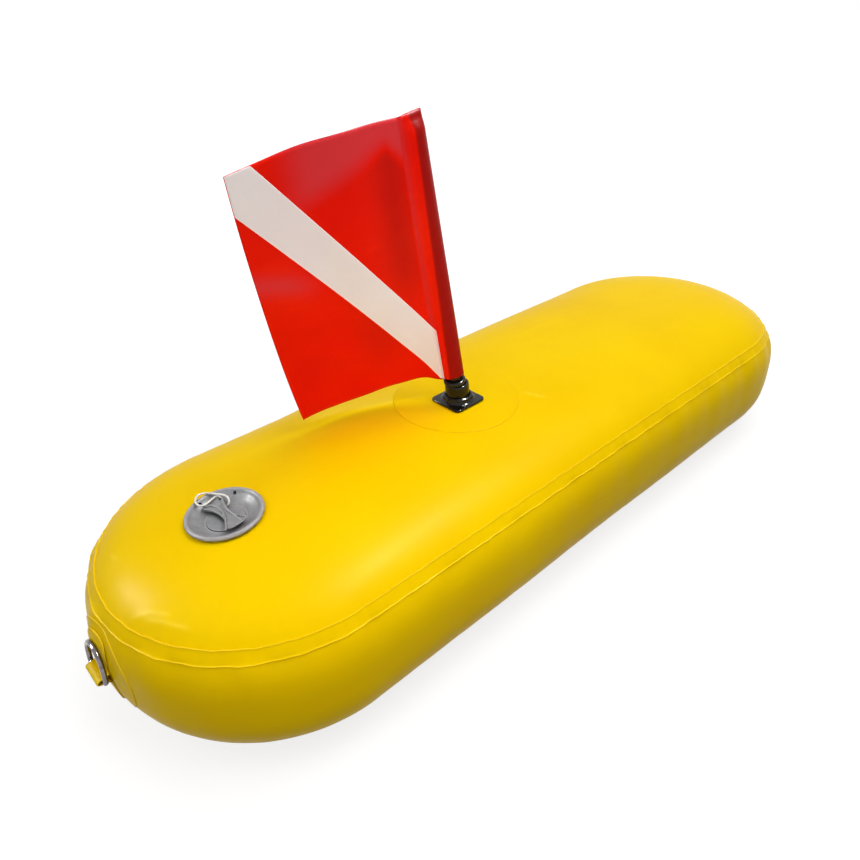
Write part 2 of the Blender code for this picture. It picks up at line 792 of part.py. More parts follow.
def make_gasket(frame, rubber):
    low = -seat_ledge_depth + fit_gap
    high = -plug_top_depth - plug_rim_thickness - fit_gap
    middle = (low + high) / 2
    centre = (plug_skirt_radius + seat_mouth_radius) / 2
    half_across = min(gasket_width, high - low) / 2
    half_high = (high - low) / 2
    sides = 8
    outline = []
    for side in range(sides):
        angle = side / sides * math.tau
        outline.append((centre + half_across * math.cos(angle), middle + half_high * math.sin(angle)))
    put_on(frame, turned("plug_gasket", outline, rubber, 36))


def grip_edge(side, steps=10):
    """One concave long edge of the bow tie, from its near end to its far end."""
    points = []
    for step in range(steps + 1):
        share = 2.0 * step / steps - 1.0
        width = grip_waist_half_width + (grip_end_half_width - grip_waist_half_width) * share * share
        points.append((side * width, share * grip_half_length))
    return points


def grip_end(way, bulge, steps=8):
    """The rounded end of the bow tie at its near or far side."""
    points = []
    for step in range(1, steps):
        share = math.sin((step / steps - 0.5) * math.pi)
        reach = grip_half_length + bulge * (1.0 - share ** grip_end_power)
        points.append((way * share * grip_end_half_width, way * reach))
    return points


def grip_rib(side, steps=10):
    outer = grip_edge(side, steps)
    inner = [(x - side * grip_rib_width, y) for x, y in outer]
    return outer + inner[::-1]


def lug_outline(steps=4):
    inner = plug_skirt_radius - plug_skirt_wall / 2
    outer = seat_bore_radius - fit_gap
    span = [math.radians(lug_half_deg * (2.0 * i / steps - 1.0)) for i in range(steps + 1)]
    return ([(outer * math.cos(a), outer * math.sin(a)) for a in span]
            + [(inner * math.cos(a), inner * math.sin(a)) for a in reversed(span)])


def make_plug(frame, grey):
    low = -plug_top_depth - plug_rim_thickness
    lug_top = -seat_ledge_depth - seat_lip_thickness - fit_gap
    skirt_low = lug_top - lug_height
    hollow = plug_skirt_radius - plug_skirt_wall
    outline = [(0.0, low), (hollow, low), (hollow, skirt_low), (plug_skirt_radius, skirt_low),
               (plug_skirt_radius, low), (plug_rim_radius, low),
               (plug_rim_radius, -plug_top_depth - plug_edge),
               (plug_rim_radius - plug_edge, -plug_top_depth), (0.0, -plug_top_depth)]
    plug = turned("valve_plug", outline, grey, 48)
    put_on(frame, plug)
    for index in range(lug_count):
        lug = extruded(f"lug_{index}", lug_outline(), skirt_low + fit_gap, lug_top)
        lug.rotation_euler = (0, 0, index / lug_count * math.tau)
        cut(plug, lug, "UNION")
        put_on(frame, lug)

    turn = math.radians(grip_turn_deg)
    under = grip_top - grip_thickness
    right = grip_edge(1.0)
    left = grip_edge(-1.0)
    outline = right + grip_end(1.0, grip_far_bulge)[::-1]
    outline += left[::-1] + grip_end(-1.0, grip_near_bulge)[::-1]
    plate = extruded("grip_plate", outline, under, grip_top)
    across, along = grip_post_width / 2, grip_post_length / 2
    post_outline = [(-across, -along), (across, -along), (across, along), (-across, along)]
    post = extruded("grip_post", post_outline, -plug_top_depth - plug_edge, grip_top - grip_thickness / 2)
    parts = [post, plate]
    rib_low, rib_high = under + grip_thickness / 2, grip_top + grip_rib_height
    for side, name in ((1.0, "grip_rib_right"), (-1.0, "grip_rib_left")):
        parts.append(extruded(name, grip_rib(side), rib_low, rib_high))
    for part in parts:
        part.rotation_euler = (0, 0, turn)
        cut(plug, part, "UNION")
        put_on(frame, part)
    hole = cylinder("grip_hole", grip_hole_radius, under - grip_thickness / 2, grip_top + cut_overrun, 16)
    hole.location = (grip_hole_x, grip_hole_y, 0)
    cut(plug, hole)
    put_on(frame, hole)


def smooth_route(points, spacing):
    """Points at an even spacing on a smooth curve through the route's own points."""
    route = [Vector(point) for point in points]
    route = [2 * route[0] - route[1]] + route + [2 * route[-1] - route[-2]]
    fine = []
    steps = 12
    for before, start, end, after in zip(route, route[1:], route[2:], route[3:]):
        for step in range(steps):
            share = step / steps
            fine.append(0.5 * (2 * start + (end - before) * share
                               + (2 * before - 5 * start + 4 * end - after) * share ** 2
                               + (3 * start - before - 3 * end + after) * share ** 3))
    fine.append(route[-2])
    total = sum((b - a).length for a, b in zip(fine, fine[1:]))
    count = max(2, round(total / spacing))
    picked = [fine[0]]
    travelled = 0.0
    for a, b in zip(fine, fine[1:]):
        travelled += (b - a).length
        if travelled >= total * len(picked) / count - spacing / 1000 and len(picked) < count:
            picked.append(b)
    picked.append(fine[-1])
    return picked


def make_plug_cord(frame, white):
    points = smooth_route(plug_cord_route, 2.0 * plug_cord_diameter)
    line = bpy.data.curves.new("plug_cord", "CURVE")
    line.dimensions = "3D"
    line.bevel_depth = plug_cord_diameter / 2
    line.bevel_resolution = 2
    line.use_fill_caps = True
    line.render_resolution_u = 0
    run = line.splines.new("POLY")
    run.points.add(len(points) - 1)
    for spot, point in zip(run.points, points):
        spot.co = (*point, 1.0)
    line.materials.append(white)
    cord = bpy.data.objects.new("plug_cord", line)
    bpy.context.collection.objects.link(cord)
    put_on(frame, cord)

    outline = [(0.0, -knot_height / 2)]
    for step in range(1, knot_steps):
        angle = step / knot_steps * math.pi
        outline.append((knot_radius * math.sin(angle), -knot_height / 2 * math.cos(angle)))
    outline.append((0.0, knot_height / 2))
    knot = turned("cord_knot", outline, white, 2 * knot_steps)
    knot.location = (knot_x, knot_y, grip_top - grip_thickness - fit_gap - knot_height / 2)
    put_on(frame, knot)


# Tow ring

ring_bar_x = -(float_length / 2 + fit_gap + ring_stand_off)
ring_bar_level = middle_height - ring_drop


def nose_offset(height, rise):
    """X and Z of a point that stands off the nose's surface by a distance, at a height over the middle."""
    radius = radius_at(height)
    across, up = section_normal(radius, height)
    return -(spine_half + radius + rise * across), middle_height + height + rise * up


def make_ring_patch(yellow):
    heights = [seam_height - fit_gap / 2, band_low_height]
    heights += [share * band_low_height for share in side_ring_shares]
    heights += [-height for height in reversed(heights[:-1])]
    rings = [(radius_at(height), height) for height in heights]
    patch = add_object("ring_patch", skin(rings, fit_gap), yellow)
    thicken(patch, patch_sheet, True)
    disc = cylinder("ring_patch_outline", ring_patch_radius, 0.0, half_width, 64)
    disc.rotation_euler = (0, -math.pi / 2, 0)
    disc.location = (-spine_half - half_width / 2, 0, middle_height)
    cut(patch, disc, "INTERSECT")


def strap_profile():
    """Inner and outer line of the strap in the X-Z plane: flat on the patch, looped round the ring's bar."""
    seat = 2 * fit_gap + patch_sheet
    loop = ring_rod_radius + fit_gap
    steps = 12
    between = [share * band_low_height for share in side_ring_shares]
    mouth_top, mouth_foot = strap_mouth - ring_drop, strap_mouth + ring_drop
    above = [strap_reach] + [level for level in between if mouth_top < level < strap_reach] + [mouth_top]
    below = [strap_reach] + [level for level in between if mouth_foot < level < strap_reach] + [mouth_foot]
    upper = [nose_offset(level, seat) for level in above]
    lower = [nose_offset(-level, seat) for level in reversed(below)]
    first, last = strap_wrap_start_deg, 360.0 - strap_wrap_start_deg
    wrap = []
    for step in range(steps + 1):
        angle = math.radians(first + (last - first) * step / steps)
        wrap.append((ring_bar_x + loop * math.cos(angle), ring_bar_level + loop * math.sin(angle)))
    return upper + wrap + lower


def offset_line(points, distance):
    """The same open line moved to its left by a distance."""
    moved = []
    for index, point in enumerate(points):
        before = points[max(index - 1, 0)]
        after = points[min(index + 1, len(points) - 1)]
        along = Vector((after[0] - before[0], after[1] - before[1])).normalized()
        moved.append((point[0] - along[1] * distance, point[1] + along[0] * distance))
    return moved


def make_ring_strap(yellow):
    inner = strap_profile()
    outer = offset_line(inner, -strap_sheet)
    outline = inner + outer[::-1]
    build = bmesh.new()
    face = build.faces.new([build.verts.new((x, -strap_width / 2, z)) for x, z in outline])
    raised = bmesh.ops.extrude_face_region(build, geom=[face])
    moved = [item for item in raised["geom"] if isinstance(item, bmesh.types.BMVert)]
    bmesh.ops.translate(build, verts=moved, vec=(0, strap_width, 0))
    tips = [edge for edge in build.edges
            if edge.calc_length() < 2 * strap_sheet
            and abs(sum(abs(v.co.z - middle_height) for v in edge.verts) / 2 - strap_reach) < strap_sheet
            and abs(edge.verts[0].co.y - edge.verts[1].co.y) < fit_gap]
    bmesh.ops.bevel(build, geom=tips, offset=strap_corner, segments=4, profile=0.5, affect="EDGES")
    return add_object("ring_strap", build, yellow)


def ring_path():
    """The D's centre line in its own plane: straight bar along Y at zero, arc standing up Z."""
    half = ring_inner_width / 2 + ring_rod_radius
    corner = ring_corner_radius
    top = ring_height - 2 * ring_rod_radius
    points = []
    bar_steps = 6
    for step in range(bar_steps):
        points.append((-half + corner + 2 * (half - corner) * step / bar_steps, 0.0))
    for step in range(5):
        angle = -math.pi / 2 + step / 4 * math.pi / 2
        points.append((half - corner + corner * math.cos(angle), corner + corner * math.sin(angle)))
    arc_low = max(top - half, corner + fit_gap)
    arc_steps = 18
    for step in range(arc_steps + 1):
        angle = math.pi * step / arc_steps
        points.append((half * math.cos(angle), arc_low + (top - arc_low) * math.sin(angle)))
    for step in range(4):
        angle = math.pi + step / 4 * math.pi / 2
        points.append((-half + corner + corner * math.cos(angle), corner + corner * math.sin(angle)))
    return points


def make_ring(steel):
    path = ring_path()
    build = bmesh.new()
    count = len(path)
    rings = []
    for index in range(count):
        before, after = path[index - 1], path[(index + 1) % count]
        along = Vector((0, after[0] - before[0], after[1] - before[1])).normalized()
        out = along.cross(Vector((1, 0, 0)))
        centre = Vector((0, path[index][0], path[index][1]))
        ring = []
        for side in range(ring_sides):
            angle = side / ring_sides * math.tau
            spoke = math.cos(angle) * out + math.sin(angle) * Vector((1, 0, 0))
            ring.append(build.verts.new(centre + ring_rod_radius * spoke))
        rings.append(ring)
    for i in range(count):
        for j in range(ring_sides):
            build.faces.new((rings[i - 1][j - 1], rings[i][j - 1], rings[i][j], rings[i - 1][j]))
    ring = add_object("d_ring", build, steel, 80.0)
    apex = ring_height - 2 * ring_rod_radius
    wall_x, wall_z = nose_offset(apex - ring_drop, 3 * fit_gap + patch_sheet + strap_sheet + ring_rod_radius)
    lean = math.atan2(wall_x - ring_bar_x, wall_z - ring_bar_level)
    frame = frame_at("ring_frame", (ring_bar_x, 0, ring_bar_level), Matrix.Rotation(lean, 4, "Y"))
    put_on(frame, ring)


def main():
    clear_scene()
    yellow = make_material("pvc_yellow", (0.83, 0.60, 0.01), 0.38)
    red = make_material("pvc_red", (0.62, 0.015, 0.012), 0.32)
    white = make_material("pvc_white", (0.72, 0.66, 0.58), 0.40)
    black = make_material("moulded_black", (0.012, 0.012, 0.010), 0.28)
    grey = make_material("moulded_grey", (0.19, 0.195, 0.20), 0.42)
    rubber = make_material("rubber_black", (0.02, 0.02, 0.02), 0.65)
    steel = make_material("stainless", (0.62, 0.60, 0.58), 0.18, 1.0)

    top = make_bladder(yellow)
    make_tie_webs(yellow)
    make_socket(top, yellow, black)
    make_pole(black)
    make_flag(red, white)
    frame = make_valve_frame()
    make_dish(frame, top, grey)
    make_seat(frame, grey)
    make_diaphragm(frame, rubber)
    make_gasket(frame, rubber)
    make_plug(frame, grey)
    make_plug_cord(frame, white)
    make_ring_patch(yellow)
    make_ring_strap(yellow)
    make_ring(steel)


main()
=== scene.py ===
"""Dive flag float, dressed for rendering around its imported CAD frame.

Metres, +Z up, in the frame of the CAD. The nose with the tow ring points to -X.
"""
import math

import bmesh
import bpy
import numpy as np
from mathutils import Matrix, Vector


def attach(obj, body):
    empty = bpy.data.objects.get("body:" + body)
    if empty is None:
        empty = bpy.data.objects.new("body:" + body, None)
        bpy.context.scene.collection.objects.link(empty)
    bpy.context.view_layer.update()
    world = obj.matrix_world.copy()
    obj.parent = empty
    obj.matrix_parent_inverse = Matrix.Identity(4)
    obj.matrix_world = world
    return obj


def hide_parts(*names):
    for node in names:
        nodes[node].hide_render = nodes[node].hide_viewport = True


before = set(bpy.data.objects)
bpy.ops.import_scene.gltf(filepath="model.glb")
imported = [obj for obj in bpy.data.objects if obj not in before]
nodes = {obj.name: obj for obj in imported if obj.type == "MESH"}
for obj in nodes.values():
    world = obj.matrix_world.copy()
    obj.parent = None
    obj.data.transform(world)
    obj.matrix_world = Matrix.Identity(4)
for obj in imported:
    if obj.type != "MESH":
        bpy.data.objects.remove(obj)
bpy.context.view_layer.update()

# Sizes shared with the CAD source
fit_gap = 0.0003
pvc_sheet = 0.0009
float_length = 1.100
float_width = 0.375
float_height = 0.200
section_power = 2.86
rest_flat_depth = 0.0008
crown_gap = 0.0025
seam_height = 0.0583
seam_band_width = 0.0150
half_width = float_width / 2
half_height = float_height / 2
spine_half = float_length / 2 - half_width
middle_height = half_height - rest_flat_depth
surface_height = middle_height + half_height

socket_x = -0.0874
socket_y = -0.0109
patch_x = -0.0845
patch_y = -0.0040
patch_radius = 0.0778
patch_sheet = 0.0007
patch_lift = 0.00004
socket_hole_radius = 0.0166
plate_side = 0.0484
plate_seat = surface_height + 2 * fit_gap + patch_sheet
collar_radius = 0.0178
collar_height = 0.0070
tube_rise = 0.0270
tube_radius = 0.0147
tube_lean_deg = 3.0
pole_radius = 0.0085
pole_lean_deg = 9.76
pole_lean_azimuth_deg = 185.23
stop_ring_radius = 0.0133
stop_ring_height = 0.0058
stop_ring_seat = 0.0289126

flag_hoist = 0.305
flag_fly = 0.190
sleeve_tip = 0.0120
weld_width = 0.0042
stripe_width = 0.0405
stripe_sheet = 0.0003
stripe_lift = 0.00005
stripe_end_gap = 0.0004

# How the flag turns and droops away from its pole in degrees, at its foot and at its head
sheet_turn = (-47.5, 0.6)
sheet_bend = (47.7, -28.4)
sheet_curl = (-4.1, 17.1)
droop_start = (6.9, 9.5)
droop_gain = (-7.4, -16.0)

valve_nose_distance = 0.1466
valve_y = -0.0050
valve_tilt_deg = -2.4
valve_hole_radius = 0.0323
dish_radius = 0.0395
dish_lip_height = 0.0050
rim_pit_reach = 0.0330
rim_pit_azimuths_deg = (107.4, 43.6)
plug_cord_diameter = 0.0020
plug_cord_route = [
    (0.0078, 0.0171, -0.0009), (0.0080, 0.0150, -0.0012), (0.0089, 0.0129, -0.0006),
    (0.0106, 0.0119, 0.0012), (0.0124, 0.0128, 0.0034), (0.0133, 0.0158, 0.0054),
    (0.0126, 0.0194, 0.0065), (0.0108, 0.0228, 0.0069), (0.0084, 0.0264, 0.0070),
    (0.0059, 0.0304, 0.0069), (0.0033, 0.0344, 0.0068), (-0.0001, 0.0385, 0.0065),
    (-0.0042, 0.0412, 0.0064), (-0.0080, 0.0404, 0.0064), (-0.0113, 0.0373, 0.0065),
    (-0.0136, 0.0329, 0.0066), (-0.0143, 0.0282, 0.0065), (-0.0130, 0.0245, 0.0062),
    (-0.0099, 0.0230, 0.0057), (-0.0060, 0.0235, 0.0054), (-0.0019, 0.0251, 0.0051),
    (0.0022, 0.0268, 0.0049), (0.0060, 0.0284, 0.0044), (0.0086, 0.0288, 0.0030),
    (0.0099, 0.0276, 0.0011), (0.0099, 0.0254, -0.0004), (0.0087, 0.0221, -0.0008),
]

ring_patch_radius = 0.0505
strap_width = 0.0300
strap_sheet = 0.0012
strap_reach = 0.0420
strap_seat = 0.00130
strap_end = 0.010
strap_mouth = 0.0053
strap_mouth_reach = 0.030
ring_rod_radius = 0.0025
ring_inner_width = 0.0352
ring_height = 0.0387
ring_drop = 0.0040
ring_corner_radius = 0.0040
ring_stand_off = 0.0070
ring_bar_x = -(float_length / 2 + fit_gap + ring_stand_off)
ring_bar_level = middle_height - ring_drop
ring_lean_deg = 6.83

# Camera, worked out from the photo
camera_place = Vector((-0.6035, -0.5473, 0.6307))
camera_forward = Vector((0.55500, 0.63589, -0.53630))
camera_right = Vector((0.73590, -0.67592, -0.03987))
camera_lens = 29.16

# Stage levels
sky_level = 1.0
ambient_level = 0.34
floor_reach = 14.0
floor_drop = 0.0002
floor_tone = (0.26, 0.26, 0.26)
floor_dull_tone = (0.24, 0.24, 0.24)
floor_glow = (0.80, 1.0)
floor_glow_distances = (0.55, 1.0)


# Objects and nodes

def linked(name, data):
    """A new object in the scene that holds some data."""
    item = bpy.data.objects.new(name, data)
    bpy.context.scene.collection.objects.link(item)
    return item


def mesh_from(name, build):
    """A new mesh from a bmesh, which is freed."""
    mesh = bpy.data.meshes.new(name)
    build.to_mesh(mesh)
    build.free()
    return mesh


def round_line(name, points, radius):
    """A round line through points, with closed ends, as a curve."""
    data = bpy.data.curves.new(name, "CURVE")
    data.dimensions = "3D"
    data.bevel_depth = radius
    data.bevel_resolution = 4
    data.use_fill_caps = True
    run = data.splines.new("POLY")
    run.points.add(len(points) - 1)
    for spot, point in zip(run.points, points):
        spot.co = (*point, 1.0)
    return linked(name, data)


def fill(tree, node, inputs):
    """Gives a node's inputs their values, or links them to other nodes' outputs."""
    for key, value in inputs.items():
        socket = node.inputs[key]
        if isinstance(value, bpy.types.NodeSocket):
            tree.links.new(value, socket)
        elif socket.type == "RGBA":
            socket.default_value = (*value, 1.0)
        else:
            socket.default_value = value


def node_of(tree, kind, inputs, output=0, **settings):
    """One output of a new shader node with these inputs and settings."""
    node = tree.nodes.new("ShaderNode" + kind)
    for setting, value in settings.items():
        setattr(node, setting, value)
    fill(tree, node, inputs)
    return node.outputs[output]


def range_of(tree, source, low, high, from_low=0.0, from_high=1.0):
    return node_of(tree, "MapRange", {"Value": source, "From Min": from_low, "From Max": from_high,
                                      "To Min": low, "To Max": high})


# Stage

def make_camera():
    data = bpy.data.cameras.new("camera")
    data.sensor_width = 36.0
    data.lens = camera_lens
    data.clip_start = 0.01
    forward = camera_forward.normalized()
    right = (camera_right - forward * camera_right.dot(forward)).normalized()
    turn = Matrix((right, right.cross(forward), -forward)).transposed().to_4x4()
    camera = linked("camera", data)
    camera.matrix_world = Matrix.Translation(camera_place) @ turn
    bpy.context.scene.camera = camera


def area_light(name, azimuth_deg, elevation_deg, distance, width, height, watts, shines=False,
               aim=(0.0, 0.0, middle_height), spread_deg=180.0):
    """A softbox that faces a point from a direction: it only lights, or it only leaves a highlight."""
    data = bpy.data.lights.new(name, "AREA")
    data.shape = "RECTANGLE"
    data.size = width
    data.size_y = height
    data.energy = watts
    data.spread = math.radians(spread_deg)
    azimuth, elevation = math.radians(azimuth_deg), math.radians(elevation_deg)
    way = Vector((math.cos(azimuth) * math.cos(elevation), math.sin(azimuth) * math.cos(elevation),
                  math.sin(elevation)))
    lamp = linked(name, data)
    lamp.location = way * distance + Vector(aim)
    lamp.rotation_euler = way.to_track_quat("Z", "Y").to_euler()
    lamp.visible_glossy = shines
    lamp.visible_diffuse = not shines


def cleared_tree(owner):
    owner.use_nodes = True
    owner.node_tree.nodes.clear()
    return owner.node_tree


def show_two_ways(tree, output, seen, unseen):
    """Ends a tree in one shader for rays from the camera, metal and glass, and another for the rest."""
    rays = tree.nodes.new("ShaderNodeLightPath").outputs
    most = rays["Is Camera Ray"]
    for ray in ("Is Glossy Ray", "Is Transmission Ray"):
        most = node_of(tree, "Math", {0: most, 1: rays[ray]}, operation="MAXIMUM")
    mix = node_of(tree, "MixShader", {"Fac": most, 1: unseen, 2: seen})
    fill(tree, tree.nodes.new(output), {"Surface": mix})


def make_world():
    """A white background that lights the scene much less than it shows."""
    world = bpy.data.worlds.new("studio")
    bpy.context.scene.world = world
    tree = cleared_tree(world)
    skies = [node_of(tree, "Background", {"Color": (1.0, 1.0, 1.0), "Strength": level})
             for level in (sky_level, ambient_level)]
    show_two_ways(tree, "ShaderNodeOutputWorld", *skies)


def make_floor():
    """A pale floor that brightens away from the float, and throws only a dull light on it."""
    build = bmesh.new()
    bmesh.ops.create_grid(build, x_segments=1, y_segments=1, size=floor_reach)
    floor = linked("floor", mesh_from("floor", build))
    floor.location = (0.0, 0.0, -floor_drop)
    material = bpy.data.materials.new("floor")
    tree = cleared_tree(material)
    place = node_of(tree, "TexCoord", {}, "Object")
    away = node_of(tree, "VectorMath", {0: place}, "Value", operation="LENGTH")
    pale = node_of(tree, "BsdfDiffuse", {"Color": floor_tone})
    glow = node_of(tree, "Emission", {"Strength": range_of(tree, away, *floor_glow, *floor_glow_distances)})
    lit = node_of(tree, "AddShader", {0: pale, 1: glow})
    dull = node_of(tree, "BsdfDiffuse", {"Color": floor_dull_tone})
    show_two_ways(tree, "ShaderNodeOutputMaterial", lit, dull)
    floor.data.materials.append(material)


def make_stage():
    make_camera()
    make_world()
    make_floor()
    area_light("overhead", -55.0, 73.0, 2.3, 2.0, 1.6, 37.0)
    area_light("front", 185.0, 52.0, 2.6, 1.4, 1.2, 13.0)
    area_light("flag_box", -120.0, 4.0, 1.4, 0.34, 0.34, 0.34, False, (-0.20, 0.0, 0.40), 34.0)
    area_light("nose_box", 141.0, 32.2, 2.73, 0.66, 0.5, 190.0, True)
    area_light("edge_box", -37.0, 67.0, 2.4, 0.7, 0.18, 210.0, True)
    bpy.context.scene.view_settings.view_transform = "Standard"


# Materials

def shader_of(name):
    material = bpy.data.materials.new(name)
    material.use_nodes = True
    return material, material.node_tree, material.node_tree.nodes["Principled BSDF"]


def noise_of(tree, place, scale, detail=3.0, roughness=0.5, distortion=0.0):
    return node_of(tree, "TexNoise", {"Vector": place, "Scale": scale, "Detail": detail,
                                      "Roughness": roughness, "Distortion": distortion})


def ramp_of(tree, source, stops):
    ramp = tree.nodes.new("ShaderNodeValToRGB")
    while len(ramp.color_ramp.elements) < len(stops):
        ramp.color_ramp.elements.new(0.5)
    for element, (position, colour) in zip(ramp.color_ramp.elements, stops):
        element.position = position
        element.color = (*colour, 1.0)
    fill(tree, ramp, {"Fac": source})
    return ramp.outputs["Color"]


def mix_colours(tree, factor, first, second):
    return node_of(tree, "Mix", {"Factor": factor, 6: first, 7: second}, 2, data_type="RGBA")


def bump_of(tree, source, strength, distance, below=None):
    inputs = {"Height": source, "Strength": strength, "Distance": distance}
    if below is not None:
        inputs["Normal"] = below
    return node_of(tree, "Bump", inputs)


def object_place(tree, stretch=(1.0, 1.0, 1.0)):
    place = node_of(tree, "TexCoord", {}, "Object")
    return node_of(tree, "Mapping", {"Vector": place, "Scale": stretch})


def coated_sheet(name, dark, plain, light, wear_and_painted_light, roughness, specular, tint):
    """PVC-coated cloth: soft mottling, faint scuffs, a fine pebbled skin and the cloth's grid below it. A
    point attribute turns it paler, for wear and for painted highlights and sheen, and darker, for painted
    shade.
    """
    material, tree, shader = shader_of(name)
    place = object_place(tree)
    colour = ramp_of(tree, noise_of(tree, place, 5.0), [(0.30, dark), (0.50, plain), (0.70, light)])
    specks = noise_of(tree, place, 160.0, 3.0, 0.6)
    colour = mix_colours(tree, range_of(tree, specks, 0.0, 0.16, 0.45, 0.75), colour, dark)
    rubbed = noise_of(tree, object_place(tree, (1.0, 2.5, 2.5)), 13.0, 6.0, 0.65, 0.3)
    colour = mix_colours(tree, range_of(tree, rubbed, 0.0, 0.5, 0.58, 0.72), colour, light)
    # The point attribute carries wear and painted light: positive values mix to the pale colour, for wear and
    # painted highlights; negative values mix to a dark tone, which is painted shade.
    marks = node_of(tree, "Attribute", {}, "Fac", attribute_name="wear_and_painted_light")
    colour = mix_colours(tree, marks, colour, wear_and_painted_light)
    sheet_painted_shade = tuple(channel * 0.30 + 0.004 for channel in dark)
    colour = mix_colours(tree, range_of(tree, marks, 1.0, 0.0, -1.0, 0.0), colour, sheet_painted_shade)
    grid = node_of(tree, "TexVoronoi", {"Vector": place, "Scale": 620.0, "Randomness": 0.35})
    cloth = bump_of(tree, grid, 0.05, 0.00003)
    fill(tree, shader, {
        "Base Color": colour, "Specular IOR Level": specular, "Specular Tint": tint,
        "Roughness": range_of(tree, rubbed, roughness - 0.04, roughness + 0.08, 0.30, 0.75),
        "Normal": bump_of(tree, noise_of(tree, place, 900.0, 2.0), 0.06, 0.00004, cloth)})
    return material


def moulding(name, dark, plain, crest_wear_and_highlight, roughness, grain, specular=0.5):
    """Injection-moulded plastic: a fine satin grain, lighter on its crests as rubbed wear and a painted
    highlight, and darker in its corners as painted shade.
    """
    material, tree, shader = shader_of(name)
    place = object_place(tree)
    colour = ramp_of(tree, noise_of(tree, place, 90.0, 4.0, 0.6), [(0.32, dark), (0.68, plain)])
    # Crests are painted lighter: partly rubbed wear, partly a painted highlight.
    crests = node_of(tree, "NewGeometry", {}, "Pointiness")
    colour = mix_colours(tree, range_of(tree, crests, 0.0, 1.0, 0.51, 0.57), colour, crest_wear_and_highlight)
    # Ambient occlusion darkens the corners and recesses: painted shade.
    corners = node_of(tree, "AmbientOcclusion", {"Distance": 0.006}, "AO", samples=8)
    corner_painted_shade = tuple(channel * 0.12 for channel in dark)
    colour = mix_colours(tree, range_of(tree, corners, 0.95, 0.0, 0.35, 0.92), colour, corner_painted_shade)
    wear = noise_of(tree, place, 260.0, 5.0, 0.65)
    fill(tree, shader, {
        "Base Color": colour, "Specular IOR Level": specular,
        "Roughness": range_of(tree, wear, roughness - 0.07, roughness + 0.10, 0.3, 0.7),
        "Normal": bump_of(tree, noise_of(tree, place, 2600.0, 2.0), grain, 0.00005)})
    return material


def brushed_steel():
    material, tree, shader = shader_of("stainless")
    place = object_place(tree)
    tint = noise_of(tree, place, 240.0, 4.0, 0.6)
    rubbed = noise_of(tree, place, 700.0, 5.0, 0.7)
    fill(tree, shader, {
        "Base Color": ramp_of(tree, tint, [(0.3, (0.13, 0.11, 0.12)), (0.7, (0.26, 0.235, 0.245))]),
        "Metallic": 1.0, "Roughness": range_of(tree, rubbed, 0.06, 0.20, 0.3, 0.7),
        "Normal": bump_of(tree, noise_of(tree, place, 1500.0), 0.08, 0.00004)})
    return material


def braided_cord():
    """White cord with a close weave, a little grey in its gaps."""
    material, tree, shader = shader_of("cord_white")
    place = object_place(tree)
    strands = node_of(tree, "TexVoronoi", {"Vector": place, "Scale": 1500.0})
    shade = noise_of(tree, place, 320.0, 3.0, 0.6)
    light = ramp_of(tree, shade, [(0.30, (0.70, 0.67, 0.60)), (0.70, (0.86, 0.84, 0.78))])
    gaps = range_of(tree, strands, 0.0, 0.45, 0.35, 0.75)
    fill(tree, shader, {
        "Base Color": mix_colours(tree, gaps, light, (0.50, 0.47, 0.41)), "Sheen Weight": 0.25,
        "Roughness": range_of(tree, shade, 0.62, 0.80), "Normal": bump_of(tree, strands, -0.25, 0.0001)})
    return material


# Each sheet's fourth colour is what its marks turn it to: pale wear, and also painted highlights and a
# painted sheen.
yellow = coated_sheet("pvc_yellow", (0.85, 0.535, 0.0001), (0.885, 0.57, 0.0001), (0.905, 0.60, 0.0002),
                      (0.98, 0.69, 0.03), 0.33, 0.017, (1.0, 0.88, 0.45))
# The red's pale colour is the colour of a painted sheen.
red = coated_sheet("pvc_red", (0.72, 0.005, 0.002), (0.87, 0.009, 0.001), (0.93, 0.019, 0.002),
                   (0.70, 0.045, 0.055), 0.32, 0.08, (1.0, 0.55, 0.60))
white = coated_sheet("pvc_white", (0.85, 0.75, 0.75), (0.89, 0.81, 0.82), (0.93, 0.87, 0.88),
                     (1.0, 0.93, 0.94), 0.38, 0.12, (1.0, 0.98, 0.96))
black = moulding("moulded_black", (0.002, 0.002, 0.001), (0.005, 0.004, 0.002), (0.014, 0.013, 0.009),
                 0.12, 0.03, 0.30)
grey = moulding("moulded_grey", (0.225, 0.230, 0.235), (0.310, 0.312, 0.315), (0.49, 0.465, 0.48),
                0.38, 0.14, 0.12)
rubber = moulding("rubber_black", (0.010, 0.010, 0.010), (0.022, 0.021, 0.020), (0.035, 0.034, 0.032),
                  0.62, 0.20)
steel = brushed_steel()
cord_white = braided_cord()


# Mesh helpers

def object_from(name, points, faces, material, wear_and_painted_light=None):
    """A smooth closed mesh. Its first points get their marks of wear and painted light, and the rest none."""
    mesh = bpy.data.meshes.new(name)
    mesh.from_pydata([tuple(point) for point in points], [], faces)
    build = bmesh.new()
    build.from_mesh(mesh)
    bmesh.ops.recalc_face_normals(build, faces=build.faces)
    build.to_mesh(mesh)
    build.free()
    mesh.shade_smooth()
    mesh.materials.append(material)
    if wear_and_painted_light is not None:
        marks = np.zeros(len(points), dtype=np.float32)
        marks[:len(wear_and_painted_light)] = wear_and_painted_light
        mesh.attributes.new("wear_and_painted_light", "FLOAT", "POINT").data.foreach_set("value", marks)
    return linked(name, mesh)


def dress(item, body, slot, *replaced):
    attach(item, body)
    if replaced:
        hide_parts(*replaced)
    return item


def points_of(*grids):
    return np.concatenate([grid.reshape(-1, 3) for grid in grids])


